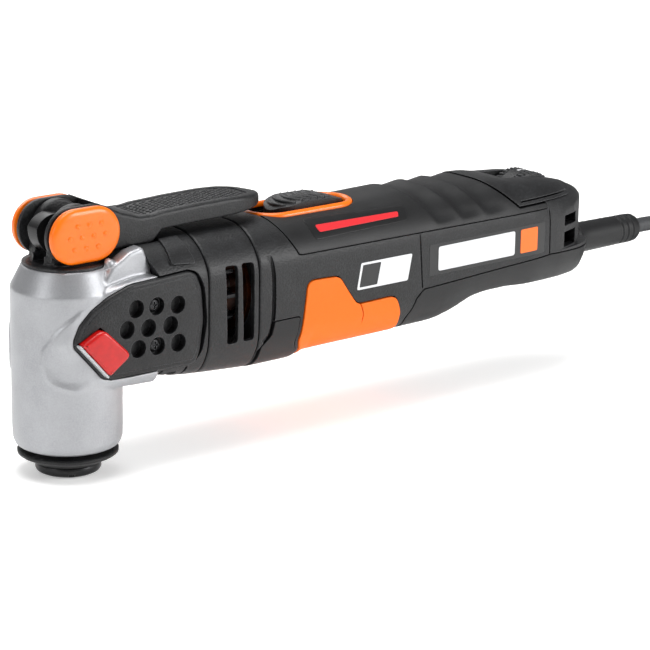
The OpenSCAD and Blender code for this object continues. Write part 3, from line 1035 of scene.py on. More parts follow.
def gather(*solids: Solid) -> Solid:
    """Puts several solids into one mesh without joining their surfaces.

    Args:
        solids: the solids, which are used up.

    Returns:
        The first solid, with the others' faces added.
    """
    work = bmesh.new()
    for solid in solids:
        work.from_mesh(solid.obj.data)
    first = solids[0]
    work.to_mesh(first.obj.data)
    work.free()
    for solid in solids[1:]:
        solid.drop()
    return first


# ---------- outer form of the body ----------


@dataclass(frozen=True)
class BodyForm:
    """Outer form of the body, read as a cross-section at each place along the tool.

    Attributes:
        middle: height that the cross-section is measured round.
        half_width: half the width over the flat sides.
        tight: how tightly the cross-section turns its corners.
        steps: points round the cross-section.
        top: height of the top along the tool.
        bottom: height of the underside along the tool.
        plan: half width along the tool.
        chamfers: corner lines of the cross-section, as two (y, z) points each.
    """

    middle: float = 62.0
    half_width: float = 27.0
    tight: float = 30.0
    steps: int = 128
    top: tuple = ((20, 89.6), (37, 89.8), (41, 90.6), (100, 90.4), (148, 89.8), (177, 91.5),
                  (200, 90.7), (223, 89.3), (232, 87.4), (247, 86.4), (258, 84.6), (268, 82.0),
                  (275, 79), (279, 74), (280, 70))
    bottom: tuple = ((20, 37), (28, 35), (45, 30.2), (60, 28.9), (78, 27.6), (103.4, 27.6),
                     (104.6, 30.2), (150, 30.8), (178, 31.8), (190, 35.6), (200, 40.4),
                     (208, 41.8), (222, 42), (232, 41), (262, 40.4), (271, 40.6), (277, 42.8),
                     (279.5, 46), (280, 51))
    plan: tuple = ((20, 27), (236, 27), (254, 25.3), (268, 22.2), (276, 18.6), (280, 13.5))
    chamfers: tuple = (((9, 91.2), (16.5, 88.4)), ((16.5, 88.4), (22.6, 83.6)),
                       ((22.6, 83.6), (26.8, 76.4)), ((26.7, 44), (22, 34.6)),
                       ((22, 34.6), (14, 30.2)))

    def ring(self, x: float, inset: float = 0.0, swell: Swell | None = None) -> np.ndarray:
        """Cross-section at one place along the tool.

        Args:
            x: the place.
            inset: how far in from the outer face.
            swell: adds to the radius, from x and the (y, z) points.

        Returns:
            The points in space.
        """
        half = levelled(self.plan, x, 3.0)
        high = levelled(self.top, x, 3.0)
        low = levelled(self.bottom, x, 3.0)
        planes = [(0, 1, high - self.middle), (0, -1, self.middle - low)]
        planes += [(side, 0, half) for side in (1, -1)]
        drop = 0.7 * min(0.0, high - 89.4)
        rise = 0.6 * max(0.0, low - 33.0) + 0.9 * min(0.0, low - 30.4)
        for (ya, za), (yb, zb) in self.chamfers:
            shift = drop if za > self.middle else rise
            narrow = half - self.half_width
            normal = np.array([zb - za, -(yb - ya)], float)
            normal /= np.linalg.norm(normal)
            if normal @ (ya, za - self.middle) < 0:
                normal = -normal
            reach = normal @ (ya + narrow, za + shift - self.middle)
            planes += [(normal[0], normal[1], reach), (-normal[0], normal[1], reach)]
        table = np.array(planes, float)
        turn = np.linspace(0, 2 * math.pi, self.steps, endpoint=False)
        way = np.stack([np.sin(turn), np.cos(turn)], 1)
        near = np.maximum(way @ table[:, :2].T, 0) / (table[:, 2] - inset)
        radius = np.sum(near**self.tight, axis=1) ** (-1 / self.tight)
        y, z = radius * way[:, 0], self.middle + radius * way[:, 1]
        if swell is not None:
            radius = radius + swell(x, np.stack([y, z], 1))
            y, z = radius * way[:, 0], self.middle + radius * way[:, 1]
        return np.stack([np.full_like(y, x), y, z], 1)

    def run(
        self, start: float, end: float, inset: float = 0.0, roll: float = 0.7, step: float = 1.6,
        swell: Swell | None = None,
    ) -> Solid:
        """Length of the body with rolled ends.

        Args:
            start: front end.
            end: rear end.
            inset: how far in from the outer face.
            roll: radius of the edges at the two ends.
            step: distance between cross-sections.
            swell: adds to the radius.

        Returns:
            The solid.
        """
        count = max(2, int((end - start - 2 * roll) / step))
        stations = [(x, inset) for x in np.linspace(start + roll, end - roll, count)]
        if roll > 0:
            turns = np.linspace(0, math.pi / 2, 5)[:-1]
            rolled = [(roll * (1 - math.cos(a)), inset + roll * (1 - math.sin(a))) for a in turns]
            stations = [(start + a, b) for a, b in rolled] + stations
            stations += [(end - a, b) for a, b in rolled[::-1]]
        return loft([self.ring(x, i, swell) for x, i in stations])


FORM = BodyForm()
# Regions of the body's side face, as (x, z): the soft skins, the hard tail and the inserts.
TOP_REGION: Outline = [(89.5, 104), (91, 93), (98.8, 76.1), (101, 75.8), (244, 75.4), (244, 78.4),
                       (226, 78.4), (199, 104)]
TAIL_REGION: Outline = [(199, 104), (226, 78.4), (262, 78.4), (266, 81.4), (268, 104)]
BELLY_FRONT: Outline = [(78.3, 20), (103.9, 20), (102.5, 30.6), (98.2, 38.2), (99.0, 44.5),
                        (99.8, 50), (85.6, 50), (84.2, 44.4), (80.6, 40.8), (78.3, 38)]
BELLY_REAR: Outline = [(161.0, 22), (160.8, 33), (160.6, 38), (162.4, 41.4), (164.4, 47),
                       (168.5, 50.6), (246, 54.4), (268, 53.4), (292, 53.4), (292, 24)]
INSERT: Outline = [(105.6, 22), (103.6, 31), (99.4, 38.4), (100.3, 44.5), (101.9, 56),
                   (102.9, 64.9), (120.4, 64.3), (126.3, 55.9), (130.6, 50.2), (152.4, 50.6),
                   (156.4, 42), (158.0, 34), (158.2, 22)]
INSERT_RADII = [0, 4, 6, 8, 10, 4.6, 5.4, 8, 5, 5.5, 6, 4, 0]
# Outlines on the side of the gear head, as (x, z), each with its corner radii where it has any.
COVER: Outline = [(24.8, 77.2), (13.3, 76.6), (2.5, 73.2), (-6.1, 68.8), (-11.6, 63.8),
                  (-14.2, 58.5), (-14.4, 55.4), (-0.4, 40.2), (4, 39), (45.7, 38.6), (48, 44),
                  (50, 56.5), (48.8, 70.2), (46, 76.6), (42, 78)]
COVER_RADII = [6, 14, 12, 6, 5, 3, 3, 3, 2, 5, 6, 16, 10, 5, 4]
FAIRING: Outline = [(30, 33.0), (2, 34.2), (-11, 35.2), (-18.4, 38.0), (-19.9, 45), (-19.6, 53),
                    (-15, 61), (-5, 70), (6, 76), (30, 80)]
FAIRING_RADII = [0, 20, 8, 5, 8, 10, 12, 14, 14, 0]
HOOD: Outline = [(-12.7, 56.8), (-2, 61.8), (11.9, 48.9), (1.2, 41.8)]
LENS: Outline = [(-13.6, 55.9), (-12.95, 56.6), (0.95, 41.6), (0.3, 40.9)]
# Centres (x, z) of the blind holes and the screws.
COVER_HOLES = [(15.8, 66.6), (36.3, 65.1), (11.2, 58.7), (21.7, 57.8), (32.6, 57.2), (16.7, 49.9),
               (36.5, 49.1)]
COVER_SCREWS = [(25.8, 66.2), (26.1, 49.5)]
HOUSING_SCREWS = [(150, 40), (168, 80.5), (212, 48.5), (216, 82), (246, 47.6)]


def scaled(outline: Outline, factor: float) -> Outline:
    """Scales an outline round the mean of its points.

    Args:
        outline: the points.
        factor: how much larger it gets.

    Returns:
        The scaled outline.
    """
    p = np.array(outline, float)
    middle = p.mean(0)
    return [tuple(q) for q in middle + factor * (p - middle)]


def grip_waves(x: float, yz: np.ndarray) -> np.ndarray:
    """Hollows for the fingers across the top grip, each falling away behind a soft ridge.

    Args:
        x: place along the tool.
        yz: points of the cross-section.

    Returns:
        The change of radius at each point.
    """
    along = (x - 169.0 - 0.55 * (93.0 - yz[:, 1])) / 14.5
    share = along - np.floor(along)
    dip = np.where((along > 0) & (along < 3), np.sin(math.pi * share**0.55) ** 1.2, 0.0)
    high = np.clip((yz[:, 1] - 77.5) / 4.0, 0, 1)
    return -1.15 * dip * high * high * (3 - 2 * high)


def tapered(points: Points | np.ndarray) -> np.ndarray:
    """Draws points in towards the barrel where they lie ahead of the arm.

    Args:
        points: points on the +Y side.

    Returns:
        The points in their new places.
    """
    p = np.array(points, float)
    draw = 4.2 * np.clip((15.0 - p[:, 0]) / 29.0, 0, 1.2) ** 1.15
    return p + np.stack([0.89 * draw, -draw, -0.37 * draw], 1)


def spokes(outline: Outline, hub: tuple[float, float], count: int) -> Outline:
    """Points of an outline at even angles round a point inside it.

    Args:
        outline: the closed outline.
        hub: the point inside.
        count: how many points.

    Returns:
        The points.
    """
    a = np.array(outline, float)
    edge = np.roll(a, -1, axis=0) - a
    start = a - np.array(hub)
    found = []
    for turn in np.linspace(0, 2 * math.pi, count, endpoint=False):
        way = np.array([math.cos(turn), math.sin(turn)])
        cross = way[0] * edge[:, 1] - way[1] * edge[:, 0]
        cross = np.where(np.abs(cross) < 1e-9, 1e-9, cross)
        far = (start[:, 0] * edge[:, 1] - start[:, 1] * edge[:, 0]) / cross
        along = (start[:, 0] * way[1] - start[:, 1] * way[0]) / cross
        hit = far[(along >= -1e-6) & (along <= 1 + 1e-6) & (far > 0)]
        found.append(tuple(np.array(hub) + way * hit.max()))
    return found


def nose_taper(solid: Solid) -> Solid:
    """Draws what lies ahead of the arm in towards the barrel, as the head narrows there.

    Args:
        solid: a solid on the +Y side, which is changed.

    Returns:
        The same solid.
    """
    mesh = solid.obj.data
    flat = np.empty(len(mesh.vertices) * 3)
    mesh.vertices.foreach_get("co", flat)
    mesh.vertices.foreach_set("co", tapered(flat.reshape(-1, 3)).ravel())
    mesh.update()
    return solid


def cross_recess(screw: Solid, place: tuple[float, float], depth: float, long: float,
                 narrow: float) -> Solid:
    """Cuts the cross for a screwdriver into a screw that faces +Y.

    Args:
        screw: the screw, which is changed.
        place: place (x, z) of its axis.
        depth: place of the recess's bottom.
        long: length of each arm.
        narrow: width of each arm.

    Returns:
        The same screw.
    """
    x, z = place
    for wide, tall in ((long, narrow), (narrow, long)):
        screw.cut(block((x - wide / 2, depth, z - tall / 2),
                        (x + wide / 2, depth + 2, z + tall / 2)))
    return screw


# ---------- gear head ----------


@dataclass
class GearHead:
    """Cast head that carries the spindle, with its black cap, side covers and lamps.

    Attributes:
        radius: radius of the barrel.
        low: height of the barrel's lower edge.
        shoulder: height where the cone begins.
        collar: radius of the cap's collar.
        arm: half the width of the arm that runs back to the motor.
        pivot: place (x, z) of the lever's pivot.
        hub: point (x, z) inside a cover that its fairing spreads from.
        voxel: size of the casting's faces.
    """

    radius: float = 22.5
    low: float = 7.0
    shoulder: float = 73.75
    collar: float = 17.7
    arm: float = 18.0
    pivot: tuple[float, float] = (-4.8, 96.6)
    hub: tuple[float, float] = (14.0, 57.0)
    voxel: float = 0.6

    def build(self) -> None:
        """Builds every piece of the head."""
        self.casting()
        self.cap()
        for side in ("left", "right"):
            self.cover(side)
            self.lamp(side)
            self.screws(side)

    def side_of(self, solid: Solid, side: str) -> Solid:
        """Mirrors a solid where the left one is wanted.

        Args:
            solid: a solid built on the +Y side.
            side: left or right.

        Returns:
            The solid for that side.
        """
        if side == "right":
            return solid
        twin = solid.mirrored()
        solid.drop()
        return twin

    def casting(self) -> None:
        """The aluminium casting: barrel, cone, arm, cheeks and the pads under the covers."""
        r, low = self.radius, self.low
        head = lathe(
            [(0, low), (18.8, low), (21.3, low + 1.2), (22.3, low + 3.8), (r, 16),
             (r, self.shoulder), (self.collar + 0.1, 83), (0, 83)], steps=160,
        )
        arm = rounded(
            [(-4, 34.6), (27, 34.6), (27.5, 36.2), (44, 36.2), (44, 85.8), (20, 85.8), (8, 82.2),
             (-4, 80)], [2, 2, 0.2, 2, 2, 2, 2, 2]
        )
        head.join(slab(arm, Axis.Y, -self.arm, self.arm, 1.5, 1.5))
        cheek = [(6, 38), (27.7, 38), (27.7, 80), (23.9, 89.6), (17.6, 88.3), (8.6, 83), (5, 78)]
        seat = rounded(COVER, COVER_RADII)
        for way in (1, -1):
            part = slab(rounded(cheek, 1.2), Axis.Y, 13.4, 20.2, 0, 1.3)
            pad = self.fairing(seat)
            bump = lathe([(0, -3.0), (1.7, -2.6), (2.3, 0), (1.7, 1.9), (0, 2.4)], Axis.Y,
                         (9.6, 84.2), 24)
            bump.moved(Matrix.Translation((0, 16.4, 0)))
            if way < 0:
                part, pad, bump = (self.side_of(s, "left") for s in (part, pad, bump))
            head.join(part, pad, bump)
        head.cast(self.voxel, 5)
        for way in (1, -1):
            seat_cut = nose_taper(slab(offset(seat, -0.3), Axis.Y, 20.2, 40))
            head.cut(seat_cut if way > 0 else self.side_of(seat_cut, "left"))
        head.cut(
            lathe([(0, 5.9), (17.5, 5.9), (17.5, 22), (0, 22)]),
            lathe([(0, 21), (16, 21), (16, 69), (0, 69)]),
            lathe([(0, 68), (9, 68), (9, 72), (0, 72)]),
            lathe([(0, 71), (11, 71), (11, 95), (0, 95)]),
            block((10, -13, 51.8), (45, 13, 72.2)),
            block((4, -13.2, 87.9), (60, 13.2, 100)),
            block((43.9, -30, 20), (60, 30, 100)),
            lathe([(0, 83), (self.collar + 0.12, 83), (self.collar + 0.12, 90), (0, 90)]),
        )
        head.emit("gear_head_casting", CAST_ALUMINIUM, "cast_aluminium", nodes=["gear_head"],
                  sharp=math.radians(40))

    def fairing(self, seat: Outline) -> Solid:
        """Swelling of the casting that runs from a cover's rim round to the barrel.

        Args:
            seat: the cover's outline.

        Returns:
            The swelling on the +Y side.
        """
        rim = tapered(lift(Axis.Y, spokes(offset(seat, -0.45), self.hub, 120), 25.0))
        foot = np.array(spokes(rounded(FAIRING, FAIRING_RADII), self.hub, 120))
        reach = np.sqrt(np.maximum(23.3**2 - foot[:, 0] ** 2, 0.0))
        out = np.where(foot[:, 0] < 0, np.minimum(21.6, reach), 21.6)
        base = np.stack([foot[:, 0], out, foot[:, 1]], 1)
        rings = []
        for share in (0.0, 0.3, 0.6, 0.85, 1.0):
            ring = rim + (base - rim) * share
            ring[:, 1] = rim[:, 1] + (base[:, 1] - rim[:, 1]) * share**1.5
            rings.append(ring)
        inner = base.copy()
        inner[:, 1] -= 5.0
        deep = base.copy()
        deep[:, 1] = 3.0
        return loft([*rings, inner, deep]).keep(block((-26, 0, 28), (27.7, 30, 78)))

    def cap(self) -> None:
        """Black cap with the two lugs that the lever turns on."""
        px, pz = self.pivot
        cap = lathe([(0, 78), (10.9, 78), (10.9, 83.05), (self.collar - 0.25, 83.05),
                     (self.collar, 83.3), (self.collar - 0.1, 83.9), (self.collar - 0.9, 84.3),
                     (14.2, 84.5), (13.6, 85), (0, 85)], steps=120)
        neck = lathe([(0, 84), (13.6, 84), (13.4, 87.6), (12.8, 88), (0, 88)], steps=96)
        cap.join(neck.keep(block((-14, -8, 83.9), (14, 8, 90))))
        for low, high in ((4, 8), (-8, -4)):
            lug = slab(disc(0, pz, 11.3, 56), Axis.Y, low, high, 0.8, 0.8)
            foot = slab([(-12.2, 86), (12.2, 86), (11.0, 95), (-11.0, 95)], Axis.Y, low, high)
            cap.join(lug.join(foot))
        cap.cut(
            lathe([(0, 70), (3, 70), (3, 90), (0, 90)]),
            lathe([(0, 80.4), (7, 80.4), (7, 90), (0, 90)]),
            block((-16, -3.9, 84.6), (8, 3.9, 120)),
            rod(Axis.Y, -9, 9, 3.04, (px, pz)),
        )
        cap.emit("head_cap_with_lugs", BLACK_NYLON, "black_plastic", nodes=["head_cap"])

    def cover(self, side: str) -> None:
        """Side cover with its seven blind holes.

        Args:
            side: left or right.
        """
        outline = rounded(COVER, COVER_RADII)
        plate = slab(outline, Axis.Y, 20.4, 26.0, 0.0, 1.1)
        step = slab(offset(outline, 2.1), Axis.Y, 25.0, 26.35, 0.0, 0.45)
        plate.join(step)
        holes = [slab(disc(x, z, 3.75, 36), Axis.Y, 22.2, 29) for x, z in COVER_HOLES]
        holes += [slab(disc(x, z, 3.75, 36), Axis.Y, 23.2, 29) for x, z in COVER_SCREWS]
        holes += [rod(Axis.Y, 19, 25, 1.55, (x, z), 20) for x, z in COVER_SCREWS]
        holes += [slab(scaled(HOOD, 1.03), Axis.Y, 21.6, 30),
                  slab(scaled(LENS, 1.08), Axis.Y, 21.6, 30)]
        plate.cut(*holes)
        self.side_of(nose_taper(plate), side).emit(
            f"side_cover_plate_{side}", BLACK_NYLON, "black_plastic", nodes=[f"side_cover_{side}"]
        )

    def lamp(self, side: str) -> None:
        """Red lamp hood and its clear lens.

        Args:
            side: left or right.
        """
        shape = rounded(HOOD, [1.2, 5.0, 2.6, 1.2], 8)
        hood = slab(shape, Axis.Y, 21.8, 29.4, 0.0, 1.5, 7)
        self.side_of(nose_taper(hood), side).emit(
            f"lamp_hood_{side}", RED_POLYCARBONATE, "red_plastic", nodes=["lamp_hoods"]
        )
        lens = slab(rounded(LENS, 0.2, 3), Axis.Y, 22, 28.4, 0.0, 0.3)
        self.side_of(nose_taper(lens), side).emit(
            f"lamp_lens_{side}", CLEAR_LENS, "clear_lens", nodes=["lamp_lenses"]
        )

    def screws(self, side: str) -> None:
        """Cross-head screws that hold the cover.

        Args:
            side: left or right.
        """
        parts = []
        for x, z in COVER_SCREWS:
            screw = lathe([(0, 15), (1.45, 15), (1.45, 23.3), (2.8, 23.3), (2.85, 23.9),
                           (2.4, 24.5), (1.6, 24.8), (0, 24.9)], Axis.Y, (x, z), 40)
            parts.append(cross_recess(screw, (x, z), 23.9, 3.2, 0.7))
        self.side_of(nose_taper(gather(*parts)), side).emit(
            f"cover_screws_{side}", BLACK_STEEL, "screw_steel", nodes=["cover_screws"]
        )


# ---------- spindle end and clamp ----------


@dataclass
class ClampEnd:
    """Rubber skirt under the barrel and the flange that grips the accessory.

    Attributes:
        flange: radius of the flange.
        top: height of the flange's upper face.
        floor: lowest point of the tool.
    """

    flange: float = 13.5
    top: float = -0.3
    floor: float = -4.5

    def build(self) -> None:
        """Builds the skirt and the flange."""
        skirt = lathe([(12.6, 0.1), (13.4, 0.0), (14.2, 0.3), (15.2, 1.0), (17.4, 2.3), (19.8, 3.4),
                       (20.6, 4.0), (20.7, 5.0), (20.2, 5.5), (18.9, 5.5), (16, 4.95), (8.7, 4.9),
                       (8.7, 4.5), (12.6, 4.5)], steps=120)
        skirt.emit("dust_skirt_ring", SOFT_GRIP, "soft_black", Body.SPINDLE, ["dust_skirt"])
        plate = lathe([(0, self.floor), (10.4, self.floor), (11.4, self.floor + 0.2),
                       (self.flange - 0.5, -3.5), (self.flange, -2.6), (self.flange, -1.0),
                       (self.flange - 0.3, self.top), (0, self.top)], steps=120)
        for k in range(4):
            angle = math.pi / 4 + k * math.pi / 2
            plate.cut(rod(Axis.Z, -1.6, 1, 2.0, (10.5 * math.cos(angle), 10.5 * math.sin(angle))))
        plate.cut(rod(Axis.Z, -3.5, 2, 2.52, (0, 0)),
                  lathe([(0, -6), (4.6, -6), (4.6, -4.1), (0, -4.1)], steps=6))
        notch = block((11.2, -1.3, -6), (15, 1.3, -2.4))
        plate.cut(notch.moved(Matrix.Rotation(math.radians(-118), 4, "Z")))
        plate.emit("clamp_flange_plate", BLACK_STEEL, "black_steel", Body.CLAMP, ["clamp_flange"])


# ---------- lever ----------


@dataclass
class LeverSet:
    """Clamp lever with its fork, textured top and two lock buttons.

    Attributes:
        half_width: half the lever's width.
        ear: centre (x, z) of the ears.
        line: the lever's lower and upper edge along the tool, as (x, low, high).
        tail: centre of its round end.
        tail_reach: how far the round end goes past that centre.
    """

    half_width: float = 12.5
    ear: tuple[float, float] = (0.2, 96.6)
    line: tuple = ((9, 88.3, 107.6), (14, 88.3, 105.4), (19, 88.4, 102.8), (28, 88.5, 99.9),
                   (34, 88.6, 99.8), (38.5, 93.1, 100.4), (56, 93.6, 101.1), (72, 93.9, 101.3),
                   (84, 94.6, 100.9), (90, 95.1, 100.4), (95.5, 96.2, 99.4))
    tail: float = 77.0
    tail_reach: float = 18.4

    def build(self) -> None:
        """Builds the lever and its buttons."""
        self.lever()
        for side, body in (("left", Body.BUTTON_LEFT), ("right", Body.BUTTON_RIGHT)):
            self.button(side, body)

    def cross(self, x: float) -> list[Point]:
        """Cross-section of the lever's bar at one place, with rounded corners.

        Args:
            x: the place along the tool.

        Returns:
            Its points.
        """
        xs = [row[0] for row in self.line]
        low = float(np.interp(x, xs, [row[1] for row in self.line]))
        high = float(np.interp(x, xs, [row[2] for row in self.line]))
        past = max(0.0, x - self.tail) / self.tail_reach
        half = self.half_width * math.sqrt(max(0.004, 1 - past**2))
        corner = min(1.9, (high - low) * 0.46, half * 0.46)
        ring = rounded([(-half, low), (half, low), (half, high), (-half, high)],
                       [corner * 0.6, corner * 0.6, corner, corner], 5)
        return lift(Axis.X, ring, x)

    def lever(self) -> None:
        """The lever, moulded in one with its fork."""
        ex, ez = self.ear
        stations = [9.0, *np.linspace(10, 37, 28), 37.8, 38.6, *np.linspace(40, 76.6, 25),
                    *(self.tail + self.tail_reach * np.sin(np.linspace(0.05, 1.5, 20)))]
        bar = loft([self.cross(x) for x in stations])
        for low, high, roll_low, roll_high in ((9, 10.85, 0.4, 0.5), (-10.85, -9, 0.5, 0.4)):
            bar.join(slab(stadium(ex, ez, 16.3, 11.3, 24), Axis.Y, low, high, roll_low, roll_high))
        slot = rounded([(-30, 80), (12.6, 80), (12.6, 120), (-30, 120)], 0.5)
        bar.cut(slab(slot, Axis.Y, -9, 9),
                rod(Axis.Y, -18, 18, 3.02, (-4.8, ez)),
                rod(Axis.Y, -14, 14, 2.95, (9.2, ez)))
        for low, high in ((10.9, 14), (-14, -10.9)):
            bar.cut(slab(stadium(ex, ez, 16.9, 11.9, 24), Axis.Y, low, high))
        panel = rounded([(30, -9.4), (78, -9.4), (88, -5.6), (88, 5.6), (78, 9.4), (30, 9.4)], 3)
        floor_of = [(x, z - 0.5) for x, _, z in self.line if x > 25]
        recess = slab(panel, Axis.Z, 90, 110)
        ceiling = slab([(26, 104), (26, floor_of[0][1])] + floor_of
                       + [(95.5, 104)], Axis.Y, -20, 20)
        bar.cut(recess.keep(ceiling))
        bar.emit("clamp_lever", BLACK_NYLON, "black_plastic", Body.LEVER, ["lever"])
        self.pebbles()

    def pebbles(self) -> None:
        """Rows of small raised pebbles that stop a thumb from slipping."""
        rng = np.random.default_rng(11)
        xs = [row[0] for row in self.line]
        tops = [row[2] for row in self.line]
        places, turns = [], []
        for i, x in enumerate(np.arange(32, 86.5, 2.3)):
            reach = 8.2 if x < 77 else 8.2 - (x - 77) * 0.35
            for y in np.arange(-7.6 + 1.15 * (i % 2), 7.8, 2.3):
                if abs(y) > reach:
                    continue
                here = x + rng.uniform(-0.25, 0.25)
                places.append((here, y, float(np.interp(here, xs, tops)) - 0.5))
                turns.append((0.0, 0.0, rng.uniform(0, math.pi)))
        studs = Repeats(Shape.DOME, 0.92, 0.52, 10).make(places, BLACK_NYLON, turns)
        studs.emit("lever_grip_pebbles", BLACK_NYLON, "black_plastic", Body.LEVER)

    def button(self, side: str, body: Body) -> None:
        """Orange lock button with its raised dots.

        Args:
            side: left or right.
            body: the body that it rides on.
        """
        ex, ez = self.ear
        face = stadium(ex, ez, 16.0, 10.85, 24)
        rings = [lift(Axis.Y, offset(face, i), y)
                 for i, y in ((0.3, 12.3), (-0.3, 12.6), (-0.3, 14.0), (0.0, 14.7), (0.8, 15.2),
                              (1.9, 15.5), (4.0, 15.62), (7.5, 15.66))]
        cap = loft(rings)
        stem = rod(Axis.Y, 9.5, 13, 2.6, (9.2, ez), 36)
        cap.join(stem)
        well = rod(Axis.Y, 12, 13.8, 6, (9.2, ez), 40).cut(rod(Axis.Y, 9, 15, 2.6, (9.2, ez), 36))
        cap.cut(well)
        rows = [(4.6, 3, 0.8), (0.0, 4, 0.0), (-4.6, 3, -0.8)]
        dots = [(ex + lean + (k - (count - 1) / 2) * 5.6, 15.45, ez + height)
                for height, count, lean in rows for k in range(count)]
        studs = Repeats(Shape.DOME, 1.05, 0.75, 16).make(dots, ORANGE_ABS, (math.pi / 2, 0, 0))
        cap = gather(cap, studs)
        if side == "left":
            right, cap = cap, cap.mirrored()
            right.drop()
        cap.emit(f"lock_button_cap_{side}", ORANGE_ABS, "orange_plastic", body,
                 [f"lock_button_{side}"], math.radians(50))


# ---------- body ----------


